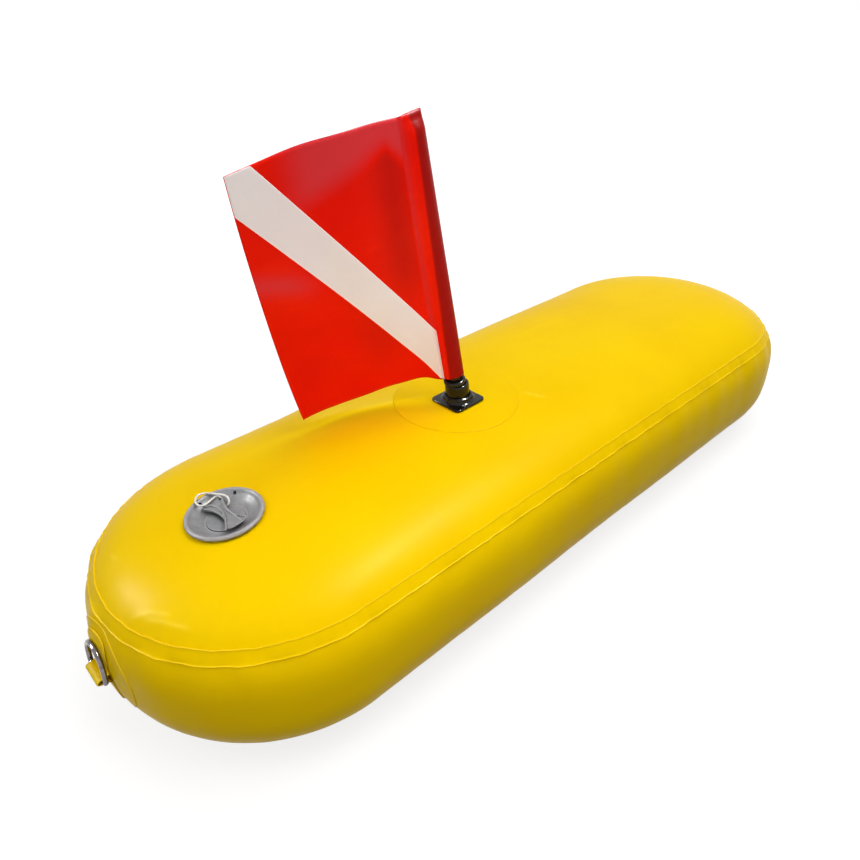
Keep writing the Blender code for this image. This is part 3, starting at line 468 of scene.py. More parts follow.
def skin_faces(rows, columns, last):
    """Faces of an outer grid of points and of the inner grid that follows it."""
    count = rows * columns
    faces = []
    for row in range(rows - 1):
        for column in range(last):
            after = (column + 1) % columns
            a, b = row * columns + column, row * columns + after
            c, d = b + columns, a + columns
            faces.append((a, b, c, d))
            faces.append((count + d, count + c, count + b, count + a))
    return faces


def shell_faces(rows, columns, closed):
    """Faces of a sheet whose outer grid comes first and whose inner grid follows it."""
    count = rows * columns
    last = columns if closed else columns - 1
    faces = skin_faces(rows, columns, last)
    for column in range(last):
        after = (column + 1) % columns
        faces.append((after, column, count + column, count + after))
        low = (rows - 1) * columns
        faces.append((low + column, low + after, count + low + after, count + low + column))
    if not closed:
        for row in range(rows - 1):
            a, b = row * columns, (row + 1) * columns
            faces.append((a, b, count + b, count + a))
            a, b = a + columns - 1, b + columns - 1
            faces.append((b, a, count + a, count + b))
    return faces


def shell(name, outer, inner, closed, material, wear_and_painted_light=None):
    """A sheet between two grids of points."""
    faces = shell_faces(outer.shape[0], outer.shape[1], closed)
    return object_from(name, points_of(outer, inner), faces, material, wear_and_painted_light)


def disc_faces(rows, columns):
    """Faces of a closed disc: its top rings from the middle outwards, its lower rings, then both middles."""
    count = rows * columns
    faces = []
    for column in range(columns):
        after = (column + 1) % columns
        faces.append((2 * count, column, after))
        faces.append((2 * count + 1, count + after, count + column))
        for row in range(rows - 1):
            a, b = row * columns + column, row * columns + after
            faces.append((a, a + columns, b + columns, b))
            faces.append((count + b, count + b + columns, count + a + columns, count + a))
        a, b = (rows - 1) * columns + column, (rows - 1) * columns + after
        faces.append((a, count + a, count + b, b))
    return faces


def turned(name, profile, material, segments=128, matrix=Matrix.Identity(4)):
    """Spins a closed outline of (radius, height) points round Z."""
    build = bmesh.new()
    ring = [build.verts.new((radius, 0.0, height)) for radius, height in profile]
    edges = [build.edges.new((ring[i - 1], ring[i])) for i in range(len(ring))
             if not (profile[i - 1][0] == 0.0 and profile[i][0] == 0.0)]
    bmesh.ops.spin(build, geom=ring + edges, cent=(0, 0, 0), axis=(0, 0, 1),
                   angle=math.tau, steps=segments, use_merge=True)
    bmesh.ops.remove_doubles(build, verts=build.verts, dist=1e-6)
    bmesh.ops.recalc_face_normals(build, faces=build.faces)
    mesh = mesh_from(name, build)
    mesh.transform(matrix)
    mesh.shade_smooth()
    mesh.materials.append(material)
    return linked(name, mesh)


def cut_away(item, *cutters):
    """Subtracts other objects from a mesh for good, and removes them."""
    for cutter in cutters:
        step = item.modifiers.new("cut", "BOOLEAN")
        step.operation = "DIFFERENCE"
        step.material_mode = "TRANSFER"
        step.object = cutter
    settle(item)
    for cutter in cutters:
        bpy.data.objects.remove(cutter)


def evaluated_mesh(item):
    """The mesh that an object's modifiers or its bevel make of it."""
    bpy.context.view_layer.update()
    return bpy.data.meshes.new_from_object(item.evaluated_get(bpy.context.evaluated_depsgraph_get()))


def settle(item):
    """Applies an object's modifiers to its mesh."""
    mesh = evaluated_mesh(item)
    item.modifiers.clear()
    item.data = mesh


def hole(radius, x, y):
    """An upright cutter through the sheets at a place on top of the float."""
    outline = [(0.0, -0.05), (radius, -0.05), (radius, 0.02), (0.0, 0.02)]
    return turned("hole", outline, yellow, 96, Matrix.Translation((x, y, surface_height)))


# Bladder surface

section_angles = np.linspace(0.0, math.pi / 2, 4001)
section_radii = half_width * np.cos(section_angles).clip(0.0) ** (2.0 / section_power)
section_heights = half_height * np.sin(section_angles) ** (2.0 / section_power)
section_arcs = np.concatenate([[0.0], np.cumsum(np.hypot(np.diff(section_radii), np.diff(section_heights)))])
crown_arc = section_arcs[-1]
seam_arc = np.interp(seam_height, section_heights, section_arcs)
plan_length = 4 * spine_half + math.tau * half_width

valve_x = valve_nose_distance - float_length / 2
valve_surface = half_height * (1.0 - (math.hypot(spine_half + valve_x, valve_y) / half_width)
                               ** section_power) ** (1.0 / section_power)
valve_seat_height = middle_height + valve_surface + fit_gap * 2
valve_matrix = (Matrix.Translation((valve_x, valve_y, valve_seat_height))
                @ Matrix.Rotation(math.radians(valve_tilt_deg), 4, "Y"))

# Kinks of the top sheet: the line in plan, height, width on its near and its far side, fade at the ends
top_kinks = [
    ([(-0.100, 0.022), (-0.127, 0.030), (-0.144, 0.041), (-0.170, 0.056), (-0.197, 0.072), (-0.230, 0.084),
      (-0.265, 0.097)], 0.0026, 0.022, 0.110, 0.055),
    ([(-0.116, 0.016), (-0.121, 0.024), (-0.119, 0.036)], 0.0009, 0.004, 0.006, 0.008),
    ([(-0.017, -0.049), (-0.010, -0.067), (-0.001, -0.084)], 0.0008, 0.004, 0.007, 0.012),
    ([(-0.502, 0.052), (-0.503, 0.044), (-0.501, 0.034)], 0.0008, 0.003, 0.005, 0.006),
    ([(-0.523, -0.034), (-0.506, -0.049), (-0.493, -0.071)], 0.0009, 0.004, 0.006, 0.010),
    ([(-0.515, -0.046), (-0.501, -0.069), (-0.487, -0.094)], 0.0007, 0.003, 0.005, 0.012),
]


def fade(value, low, high):
    """A soft step from 0 at a low value to 1 at a high one."""
    share = np.clip((value - low) / (high - low), 0.0, 1.0)
    return share * share * (3.0 - 2.0 * share)


def swell(offset, width):
    """A soft bump: 1 at no offset, and fading over a width."""
    return math.exp(-(offset / width) ** 2)


def round_the_plan(x, y):
    """Angle of the way round the float in plan: near side, nose, far side and tail."""
    spine = np.clip(x, -spine_half, spine_half)
    at_nose = 2 * spine_half + half_width * np.arctan2(spine - x, -y)
    at_tail = 4 * spine_half + half_width * (math.pi + np.arctan2(x - spine, y))
    along = np.where(y < 0.0, spine_half - x, 3 * spine_half + math.pi * half_width + x)
    way = np.where(x < -spine_half, at_nose, np.where(x > spine_half, at_tail, along))
    return way / plan_length * math.tau


def kink(x, y, line, height, near_width, far_width, end_fade):
    """A fold's crest along a line in plan, soft on both sides and fading at its ends."""
    nearest = np.full(x.shape, np.inf)
    signed = np.zeros(x.shape)
    place = np.zeros(x.shape)
    travelled = 0.0
    for (ax, ay), (bx, by) in zip(line, line[1:]):
        run = math.hypot(bx - ax, by - ay)
        share = np.clip(((x - ax) * (bx - ax) + (y - ay) * (by - ay)) / run ** 2, 0.0, 1.0)
        gap_x, gap_y = x - ax - share * (bx - ax), y - ay - share * (by - ay)
        gap = np.hypot(gap_x, gap_y)
        side = (bx - ax) * gap_y - (by - ay) * gap_x
        closer = gap < nearest
        nearest = np.where(closer, gap, nearest)
        signed = np.where(closer, np.copysign(gap, side), signed)
        place = np.where(closer, travelled + share * run, place)
        travelled += run
    width = np.where(signed > 0.0, near_width, far_width)
    power = np.where(signed > 0.0, 1.2, 2.0)
    ends = fade(place, 0.0, end_fade) * fade(travelled - place, 0.0, end_fade)
    return height * ends * np.exp(-(np.abs(signed) / width) ** power)


def kink_shade(points):
    """Painted highlights along the crests of the kinks, and painted shade in the lee of the long one."""
    x, y = points[..., 0], points[..., 1]
    line, _, _, _, end_fade = top_kinks[0]
    shade = kink(x, y, line, 0.9, 0.004, 0.045, end_fade)
    shade += kink(x, y, line, 0.26, 0.009, 0.004, end_fade)
    shade -= kink(x, y, line, 0.26, 0.036, 0.004, end_fade)
    for line, _, near_width, far_width, end_fade in top_kinks[1:]:
        shade += kink(x, y, line, 0.7, near_width * 0.4, far_width * 0.4, end_fade)
    return shade


def relief(points):
    """How far the blown-up sheet stands off the CAD surface at points on it, in metres.

    It is wrinkled at the seam, creased on top, and flat under the valve and the socket plate.
    """
    x, y, z = points[..., 0], points[..., 1], points[..., 2]
    height = z - middle_height
    turn = round_the_plan(x, y)
    arc = np.interp(np.abs(height), section_heights, section_arcs)
    lift = 0.0006 * np.sin(9.0 * x + 1.3) * np.sin(11.0 * y + 0.4)
    lift += 0.0004 * np.sin(21.0 * x - 7.0 * z + 2.0) * np.cos(17.0 * y + 9.0 * z)
    beyond = np.maximum(np.abs(arc - seam_arc) - seam_band_width / 2, 0.0)
    gathered = 0.35 + 0.65 * np.sin(5.0 * turn + 0.6) ** 2
    slack = 1.0 - 0.88 * fade(-height, 0.0, 0.045)
    crimp = np.sin(97.0 * turn + 1.5 * np.sin(11.0 * turn))
    lift += 0.00030 * slack * gathered * crimp * np.exp(-beyond / 0.014)
    lift += 0.00018 * slack * np.sin(167.0 * turn + 2.0 * np.sin(7.0 * turn)) * np.exp(-beyond / 0.008)
    below = fade(seam_arc - arc, 0.0, 0.012) * np.exp(-np.abs(seam_arc - arc) / 0.035)
    lift += 0.0024 * slack * below * np.sin(13.0 * turn + 0.8) * np.sin(41.0 * turn + 0.5)
    on_top = fade(height, 0.030, 0.060)
    for crease in top_kinks:
        lift += on_top * kink(x, y, *crease)
    off_plate = np.maximum(np.abs(x - socket_x), np.abs(y - socket_y))
    clear = fade(np.hypot(x - valve_x, y - valve_y), 0.040, 0.062)
    clear *= fade(off_plate, plate_side * 0.53, plate_side * 0.75)
    return lift * (1.0 - fade(height, 0.0, 0.060) * (1.0 - clear))


def surface_point(spine_x, across_x, across_y, arc, rise):
    """Points at an arc distance over the section's middle, lifted off the blown-up sheet."""
    spine_x, across_x, across_y, arc, rise = np.broadcast_arrays(spine_x, across_x, across_y, arc, rise)
    radius = np.interp(np.abs(arc), section_arcs, section_radii)
    height = np.copysign(np.interp(np.abs(arc), section_arcs, section_heights), arc)
    out = (radius / half_width) ** (section_power - 1.0) / half_width
    up = np.copysign((np.abs(height) / half_height) ** (section_power - 1.0), height) / half_height
    size = np.hypot(out, up)
    base = np.stack([spine_x + radius * across_x, radius * across_y, middle_height + height], axis=-1)
    way = np.stack([out * across_x, out * across_y, up], axis=-1) / size[..., None]
    return base + way * (rise + relief(base))[..., None]


def top_point(x, y, rise):
    """Points over a place in plan on the top sheet."""
    spine = np.clip(x, -spine_half, spine_half)
    reach = np.maximum(np.hypot(x - spine, y), 1e-6)
    arc = np.interp(reach, section_radii[::-1], section_arcs[::-1])
    return surface_point(spine, (x - spine) / reach, y / reach, arc, rise)


def nose_point(across, arc, rise):
    """Points on the nose, at an arc across from its middle and an arc over the float's mid height."""
    angle = across / half_width
    return surface_point(-spine_half, -np.cos(angle), np.sin(angle), arc, rise)


end_steps = 130
side_steps = 170
top_rings = 84
bottom_rings = 44
side_rings = 46


def stations():
    """The plan loop as spine X, facing X, facing Y and the spine column of each section."""
    loop = []
    for way, first_column in ((1.0, 0), (-1.0, side_steps)):
        for step in range(end_steps + 1):
            angle = -way * math.pi / 2 + step / end_steps * math.pi
            loop.append((way * spine_half, math.cos(angle), math.sin(angle), first_column))
        for step in range(1, side_steps):
            spine = spine_half - 2 * spine_half * step / side_steps
            loop.append((way * spine, 0.0, way, abs(first_column - step)))
    return loop


plan_loop = stations()
loop_spine, loop_across_x, loop_across_y = np.array([station[:3] for station in plan_loop]).T
loop_turn = round_the_plan(loop_spine + half_width * loop_across_x, half_width * loop_across_y)


def loop_grid(arcs, rise):
    """Points all round the float at arc distances over its middle, a row each."""
    return surface_point(loop_spine, loop_across_x, loop_across_y, arcs, rise)


def capped_sheet(name, sign, ring_count):
    """The top or bottom sheet: rings from the seam inwards, closed along the spine."""
    arcs = sign * np.linspace(seam_arc, crown_arc - crown_gap, ring_count)[:, None]
    spine_x = np.linspace(spine_half, -spine_half, side_steps + 1)
    grids, crowns = [], []
    for rise, lowest in ((0.0, 0.0), (-pvc_sheet, pvc_sheet * 0.8)):
        grids.append(loop_grid(arcs, rise))
        crowns.append(surface_point(spine_x, 0.0, 1.0, sign * crown_arc, rise))
        for part in (grids[-1], crowns[-1]):
            part[..., 2] = np.maximum(part[..., 2], lowest)
    rows, columns = grids[0].shape[:2]
    count = rows * columns
    faces = skin_faces(rows, columns, columns)
    low = (rows - 1) * columns
    tips = 2 * count
    tips_in = tips + side_steps + 1
    for column in range(columns):
        after = (column + 1) % columns
        k, m = plan_loop[column][3], plan_loop[after][3]
        upper = [low + column, low + after, tips + m]
        lower = [count + low + column, count + low + after, tips_in + m]
        if k != m:
            upper.append(tips + k)
            lower.append(tips_in + k)
        faces.append(tuple(upper))
        faces.append(tuple(reversed(lower)))
        faces.append((after, column, count + column, count + after))
    points = points_of(*grids, *crowns)
    # Painted highlights and painted shade along the kinks of the top sheet.
    marks = kink_shade(points) * (points[:, 2] > middle_height)
    return object_from(name, points, faces, yellow, marks)


def make_bladder():
    top = capped_sheet("top_sheet", 1.0, top_rings)
    bottom = capped_sheet("bottom_sheet", -1.0, bottom_rings)
    arcs = np.linspace(seam_arc, -seam_arc, side_rings)[:, None]
    side = shell("side_sheet", loop_grid(arcs, 0.0), loop_grid(arcs, -pvc_sheet), True, yellow)
    cut_away(top, hole(valve_hole_radius, valve_x, valve_y), hole(socket_hole_radius, socket_x, socket_y))
    for sheet, replaced in ((top, "top_panel"), (bottom, "bottom_panel"), (side, "side_wall")):
        dress(sheet, "float", "pvc_yellow", replaced)


# Half of the weld band across the seam: share of its half width, stand-off and how worn it is
bead_profile = [(0.0, 0.00035, 0.0), (0.40, 0.00035, 0.0), (0.68, 0.00040, 0.0), (0.78, 0.00050, 0.1),
                (0.835, 0.00085, 0.6), (0.880, 0.00115, 1.0), (0.925, 0.00110, 1.0), (0.965, 0.00075, 0.8),
                (0.990, 0.00030, 0.4), (1.0, 0.00008, 0.1)]


def make_seam_band(name, sign, replaced):
    """The weld band over the seam, with a fine rounded bead along each of its wavering edges."""
    half = [(-share, rise, wear_and_painted_light) for share, rise, wear_and_painted_light in bead_profile[:0:-1]] + bead_profile
    share, rise, wear_and_painted_light = np.array(half).T
    wavers = [0.00030 * np.sin(59.0 * loop_turn + phase) + 0.00020 * np.sin(131.0 * loop_turn + 2.0 * phase)
              for phase in (0.3, 2.1)]
    reach = seam_band_width / 2 + np.where(share[:, None] > 0.0, *wavers)
    arcs = sign * (seam_arc + share[:, None] * reach)
    rise = rise[:, None] * (1.0 if sign > 0.0 else 0.4)
    wear_and_painted_light = wear_and_painted_light * (0.55 if sign > 0.0 else 0.2)
    patchy = 0.45 + 0.55 * np.sin(3.0 * loop_turn + 1.5 * np.sin(8.0 * loop_turn)) ** 2
    outer, inner = loop_grid(arcs, rise), loop_grid(arcs, np.minimum(rise * 0.5, patch_lift))
    band = shell(name, outer, inner, True, yellow, np.outer(wear_and_painted_light, patchy).ravel())
    dress(band, "float", "pvc_yellow", replaced)


def circle(radius, count, centre=(0.0, 0.0)):
    return np.array([(centre[0] + radius * math.cos(step / count * math.tau),
                      centre[1] + radius * math.sin(step / count * math.tau)) for step in range(count)])


def rings_between(inner, outer, steps):
    """Rings of spots from one outline to another, at steps of (share of the way, rise, wear and painted
    light).
    """
    return [(inner + share * (outer - inner), rise, wear_and_painted_light) for share, rise, wear_and_painted_light in steps]


def disc_sheet(name, place, rings, middle):
    """A closed sheet on the float's surface, from its middle out through rings of spots."""
    spots, rise, wear_and_painted_light = [np.array(values) for values in zip(*rings)]
    rows, columns = spots.shape[:2]
    top = place(spots[..., 0], spots[..., 1], rise[:, None])
    low = place(spots[..., 0], spots[..., 1], patch_lift)
    tips = np.stack([place(*middle, rise[0]), place(*middle, patch_lift)])
    return object_from(name, points_of(top, low, tips), disc_faces(rows, columns), yellow,
                       np.repeat(wear_and_painted_light, columns))


def make_socket_patch():
    middle = np.array((patch_x, patch_y))
    steps = [(share, 0.00075, 0.0) for share in np.linspace(0.03, 0.97, 34)]
    # The patch's rim is painted darker at its foot: painted shade.
    steps += [(0.985, 0.00078, 0.0), (0.993, 0.00072, -0.12), (0.9975, 0.00050, -0.28),
              (1.0, 0.00008, -0.30)]
    rings = rings_between(middle, circle(patch_radius, 240, middle), steps)
    patch = disc_sheet("socket_disc", top_point, rings, middle)
    cut_away(patch, hole(socket_hole_radius, socket_x, socket_y))
    dress(patch, "float", "pvc_yellow", "socket_patch")


# Cord

def smooth_route(points, spacing):
    """Points at an even spacing on a smooth curve through the route's own points."""
    route = [Vector(point) for point in points]
    route = [2 * route[0] - route[1]] + route + [2 * route[-1] - route[-2]]
    fine = []
    steps = 12
    for before, start, end, after in zip(route, route[1:], route[2:], route[3:]):
        for step in range(steps):
            share = step / steps
            fine.append(0.5 * (2 * start + (end - before) * share
                               + (2 * before - 5 * start + 4 * end - after) * share ** 2
                               + (3 * start - before - 3 * end + after) * share ** 3))
    fine.append(route[-2])
    total = sum((b - a).length for a, b in zip(fine, fine[1:]))
    count = max(2, round(total / spacing))
    picked = [fine[0]]
    travelled = 0.0
    for a, b in zip(fine, fine[1:]):
        travelled += (b - a).length
        if travelled >= total * len(picked) / count - spacing / 1000 and len(picked) < count:
            picked.append(b)
    picked.append(fine[-1])
    return picked


def make_plug_cord():
    points = [valve_matrix @ point for point in smooth_route(plug_cord_route, plug_cord_diameter / 2)]
    cord = round_line("cord_loop", points, plug_cord_diameter / 2)
    cord.data.materials.append(cord_white)
    dress(cord, "plug", "cord_white", "plug_cord")


# Nose

def make_nose_patch():
    """The round patch, with the smaller one below it showing through as a step."""
    step_radius, step_level, count = 0.031, -0.010, 200
    high, flat = 0.00110, 0.00070
    middle = np.array((0.0, step_level))
    inner, outline = circle(step_radius, count, middle), circle(ring_patch_radius, count)
    rings = rings_between(middle, inner, [(share, high, 0.0) for share in np.linspace(0.05, 0.96, 14)]
                          + [(0.985, 0.00108, 0.1), (1.0, 0.00095, 0.3), (1.015, 0.00072, 0.1)])
    rings += rings_between(inner, outline, [(share, flat, 0.0) for share in np.linspace(0.08, 0.95, 10)]
                           + [(0.98, flat, 0.0)])
    rings += rings_between(np.zeros(2), outline, [(0.985, 0.00085, 0.8), (0.992, 0.00080, 1.0),
                                                  (0.997, 0.00050, 0.6), (1.0, 0.00008, 0.2)])
    dress(disc_sheet("nose_patch", nose_point, rings, middle), "float", "pvc_yellow", "ring_patch")


def strap_half_width(level):
    """Half the strap's width at a level over the ring's bar: wider on the patch, with rounded ends."""
    broad = strap_width / 2 + 0.0037 * fade(abs(level), 0.006, 0.018)
    past = (abs(level) - strap_reach + 0.013) / 0.0131
    return broad * math.sqrt(max(1.0 - max(past, 0.0) ** 2.4, 0.0)) + 0.0002


def strap_on_patch(shares, level):
    """A row of the strap where it lies flat on the patch: outer and inner points, and their wear."""
    across, end = shares * strap_half_width(level), abs(level)
    contour = 0.00025 * swell(end - strap_reach + 0.0065, 0.0012)
    raised = strap_seat + strap_sheet - contour - 0.0005 * fade(end, strap_reach - 0.0015, strap_reach)
    edge = fade(np.abs(shares), 0.93, 1.0)
    wear_and_painted_light = 0.5 * edge + 0.5 * fade(end, strap_reach - 0.002, strap_reach)
    outer = nose_point(across, level, raised - 0.0004 * edge)
    return outer, nose_point(across, level, strap_seat), wear_and_painted_light


def strap_round_bar(shares, angle):
    """A row of the strap at an angle round the ring's bar: outer and inner points, and a painted highlight
    along the loop's upper outer crest.
    """
    way = np.array((math.cos(angle), 0.0, math.sin(angle)))
    spoke = way * (1.0 + 1.1 * max(-way[0], 0.0), 1.0, 1.0)
    line = np.outer(shares * strap_width / 2, (0.0, 1.0, 0.0))
    edge = 0.0003 * fade(np.abs(shares), 0.95, 1.0)[:, None]
    inner = np.array((ring_bar_x, 0.0, ring_bar_level)) + line + spoke * (ring_rod_radius + fit_gap)
    # A pale line along the loop's upper outer side is a painted highlight.
    painted_crest_highlight = swell(math.degrees(angle) - 150.0, 22.0)
    return inner + way * (strap_sheet - edge), inner, np.full(len(shares), 0.9 * painted_crest_highlight)


def make_strap():
    """The strap that holds the ring: flat on the patch at both ends and looped round the ring's bar."""
    shares = np.sin(np.linspace(-1.0, 1.0, 33) * math.pi / 2)
    mouth_top, mouth_foot = strap_mouth - ring_drop, strap_mouth + ring_drop
    upper = (*np.linspace(strap_reach, strap_reach - strap_end, 12),
             *np.linspace(strap_mouth_reach, mouth_top, 22))
    lower = (*np.linspace(mouth_foot, strap_mouth_reach, 18),
             *np.linspace(strap_reach - strap_end, strap_reach, 12))
    rows = [strap_on_patch(shares, level) for level in upper]
    rows += [strap_round_bar(shares, angle) for angle in np.radians(np.linspace(58.0, 302.0, 30))]
    rows += [strap_on_patch(shares, -level) for level in lower]
    outer, inner, wear_and_painted_light = [np.array(values) for values in zip(*rows)]
    strap = shell("strap_loop", outer, inner, False, yellow, wear_and_painted_light.ravel())
    dress(strap, "float", "pvc_yellow", "ring_strap")


ring_bar_steps = 24
ring_corner_steps = 12
ring_arch_steps = 72
ring_sides = 28


def ring_corner(middle, start, steps):
    """Points on the quarter bend between the ring's bar and its arch."""
    radius = ring_corner_radius
    angles = [start + step / ring_corner_steps * math.pi / 2 for step in steps]
    return [(middle + radius * math.cos(angle), radius + radius * math.sin(angle)) for angle in angles]


def make_ring():
    """The D-ring: a round rod bent to a bar and an arch, butt-welded in the bar."""
    half = ring_inner_width / 2 + ring_rod_radius
    corner, top = ring_corner_radius, ring_height - 2 * ring_rod_radius
    path = [(-half + corner + 2 * (half - corner) * step / ring_bar_steps, 0.0)
            for step in range(ring_bar_steps)]
    path += ring_corner(half - corner, -math.pi / 2, range(ring_corner_steps))
    arc_low = max(top - half, corner + fit_gap)
    for step in range(ring_arch_steps + 1):
        angle = math.pi * step / ring_arch_steps
        path.append((half * math.cos(angle), arc_low + (top - arc_low) * math.sin(angle)))
    path += ring_corner(-half + corner, math.pi, range(1, ring_corner_steps))
    sides, count = ring_sides, len(path)
    points, faces = [], []
    for index in range(count):
        before, after = path[index - 1], path[(index + 1) % count]
        along = Vector((0, after[0] - before[0], after[1] - before[1])).normalized()
        out = along.cross(Vector((1, 0, 0)))
        from_weld = abs(path[index][0]) if path[index][1] == 0.0 else 1.0
        radius = ring_rod_radius * (1.0 - 0.02 * swell(from_weld, 0.0012))
        for side in range(sides):
            angle = side / sides * math.tau
            spoke = math.cos(angle) * out + math.sin(angle) * Vector((1, 0, 0))
            points.append(Vector((0.0, *path[index])) + radius * spoke)
            k, m = (index + 1) % count, (side + 1) % sides
            faces.append((index * sides + side, k * sides + side, k * sides + m, index * sides + m))
    lean = Matrix.Rotation(math.radians(ring_lean_deg), 4, "Y")
    seat = Matrix.Translation((ring_bar_x, 0.0, ring_bar_level)) @ lean
    ring = object_from("tow_d_ring", [seat @ point for point in points], faces, steel)
    dress(ring, "tow_ring", "stainless", "d_ring")


# Socket and pole

def leaning(lean_deg):
    """The frame of a piece in the socket that leans towards the nose, seated on top of the float."""
    turn = Matrix.Rotation(math.radians(pole_lean_azimuth_deg), 4, "Z")
    lean = turn @ Matrix.Rotation(math.radians(lean_deg), 4, "Y") @ turn.inverted()
    return Matrix.Translation((socket_x, socket_y, surface_height)) @ lean


pole_matrix = leaning(pole_lean_deg)


def copy_of(node):
    """A loose object with a CAD node's mesh, in world space."""
    mesh = node.data.copy()
    mesh.transform(node.matrix_world)
    return linked(node.name + "_copy", mesh)


def remeshed(name, parts, voxel, rounds, material):
    """One skin round several closed parts, with its edges rounded."""
    build = bmesh.new()
    for part in parts:
        build.from_mesh(part.data)
        bpy.data.objects.remove(part)
    item = linked(name, mesh_from(name, build))
    skin = item.modifiers.new("skin", "REMESH")
    skin.mode = "VOXEL"
    skin.voxel_size = voxel
    ease = item.modifiers.new("ease", "SMOOTH")
    ease.factor = 0.5
    ease.iterations = rounds
    settle(item)
    item.data.shade_smooth()
    item.data.materials.clear()
    item.data.materials.append(material)
    return item


def make_socket():
    fillet = [(-0.0014, 0.0020), (0.0042, 0.0020), (0.0042, 0.0031), (0.0028, 0.0034), (0.0016, 0.0042),
              (0.0009, 0.0056), (0.0004, collar_height + 0.0020), (-0.0014, collar_height + 0.0022)]
    ring = turned("fillet", [(collar_radius + out, level) for out, level in fillet], black, 96,
                  Matrix.Translation((socket_x, socket_y, plate_seat)))
    base = remeshed("socket_plate", [copy_of(nodes["socket_base"]), ring], voxel=0.00042, rounds=7,
                    material=black)
    dress(base, "float", "moulded_black", "socket_base")

    foot, floor, bore = -0.0280, -0.0250, 0.0117
    mouth = [(0.0, -0.0026), (-0.00025, -0.0012), (-0.0008, -0.0004), (-0.0016, 0.0)]
    outline = [(0.0, foot), (tube_radius - 0.0010, foot), (tube_radius, foot + 0.0010)]
    outline += [(tube_radius + out, tube_rise + up) for out, up in mouth]
    outline += [(0.0123, tube_rise), (0.0118, tube_rise - 0.0004), (bore, tube_rise - 0.0010),
                (bore, floor), (0.0, floor)]
    tube = turned("socket_sleeve", outline, black, 128, leaning(tube_lean_deg))
    dress(tube, "float", "moulded_black", "socket_tube")

    low, high, bore = stop_ring_seat, stop_ring_seat + stop_ring_height, pole_radius + fit_gap
    foot = [(-0.0014, 0.0), (-0.0004, 0.0005), (0.0, 0.0014)]
    crown = [(0.0, -0.0018), (-0.0005, -0.0008), (-0.0014, -0.0002), (-0.0024, 0.0)]
    outline = [(bore, low)] + [(stop_ring_radius + out, low + up) for out, up in foot]
    outline += [(stop_ring_radius + out, high + up) for out, up in crown] + [(bore, high)]
    stop = turned("stop_ring", outline, black, 128, pole_matrix)
    dress(stop, "flag_pole", "moulded_black", "pole_stop_ring")


# Flag
# A place on its sheet is a share of the fly, out from the pole's axis, and of the hoist, up from its foot

loop_radius = pole_radius + fit_gap + pvc_sheet / 2
sheet_start = sleeve_tip + weld_width
sleeve_foot = stop_ring_seat + stop_ring_height + fit_gap
flag_rows = 76
flag_columns = 64
sleeve_steps = 48
sheet_distances = [sheet_start + (flag_fly - sheet_start) * i / flag_columns for i in range(flag_columns + 1)]


def at_height(ends, hoist):
    foot, head = ends
    return foot + (head - foot) * hoist


def sheet_angle(fly, hoist):
    turn, bend, curl = [at_height(ends, hoist) for ends in (sheet_turn, sheet_bend, sheet_curl)]
    return math.radians(turn + bend * fly + curl * fly * fly)


def sheet_droop(fly, hoist):
    return math.radians(at_height(droop_start, hoist) + at_height(droop_gain, hoist) * fly)


def sheet_fold(fly, hoist):
    """How far the cloth waves towards its near side, in metres."""
    loose = fade(fly, 0.09, 0.34)
    lobe = 0.0034 * swell(fly - 0.34 - 0.16 * hoist, 0.15) * fade(hoist, 0.15, 0.75)
    band = -0.0026 * swell(fly - 0.66 + 0.10 * hoist, 0.12)
    ripple = 0.0012 * math.sin(math.tau * (1.9 * fly - 0.55 * hoist) + 0.4)
    corner_rise = hoist - 0.16 - 0.35 * (fly - 0.5)
    corner = 0.0030 * math.exp(-((fly - 0.62) ** 2 + corner_rise ** 2 * 6.0) / 0.02)
    hem = 0.0007 * math.sin(math.tau * (2.6 * fly + 1.2 * hoist)) * fade(fly, 0.5, 1.0)
    return loose * (lobe + band + ripple + corner + hem)


def sheet_painted_light(fly, hoist):
    """Painted light on the red: a painted sheen along the top and in a band to the fly edge, and painted
    shade in the folds.
    """
    depth = 0.08 + 0.24 * max(fly - 0.20, 0.0) + 0.6 * max(0.18 - fly, 0.0)
    veil = 0.80 * fade(hoist, 0.96 - depth, 1.06 - depth) * (1.0 - fade(fly, 0.55, 0.80))
    band = 0.62 * swell(hoist - 0.63 + 0.28 * (1.0 - fly), 0.040) * fade(fly, 0.62, 0.85)
    lobe = 0.40 * swell(fly - 0.18, 0.11) * fade(hoist, 0.28, 0.55)
    low = 0.24 * math.exp(-((fly - 0.40) / 0.15) ** 2 - ((hoist - 0.26) / 0.16) ** 2)
    return veil + band - (lobe * (1.0 - min(veil * 1.6, 1.0)) + low) * fade(fly, 0.02, 0.08)


def foot_wave(fly, hoist):
    """How the lower edge runs up beside the pole and sags towards the fly."""
    low = max(1.0 - hoist / 0.30, 0.0) ** 2
    beside = 0.0045 * swell(fly - 0.20, 0.09) * fade(fly, 0.08, 0.16)
    return Vector((0.0, 0.0, low * (beside - 0.0050 * swell(fly - 0.66, 0.20))))


def sheet_line(hoist, distances):
    """Points and side directions on the sheet at distances from the pole's axis, in the pole's frame."""
    fine = 96
    points = []
    here = Vector((0, 0, sleeve_foot + flag_hoist * hoist))
    travelled = 0.0
    step = flag_fly / fine
    for distance in distances:
        while travelled < distance - step / 1000:
            stride = min(step, distance - travelled)
            fly = (travelled + stride / 2) / flag_fly
            turn = sheet_angle(fly, hoist)
            rise = sheet_droop(fly, hoist) if travelled >= sheet_start else 0.0
            level = math.cos(rise)
            here = here + stride * Vector((-math.cos(turn) * level, -math.sin(turn) * level, math.sin(rise)))
            travelled += stride
        fly = min(distance / flag_fly, 1.0)
        turn = sheet_angle(fly, hoist)
        side = Vector((math.sin(turn), -math.cos(turn), 0.0))
        points.append((here + side * sheet_fold(fly, hoist) + foot_wave(fly, hoist), side))
    return points


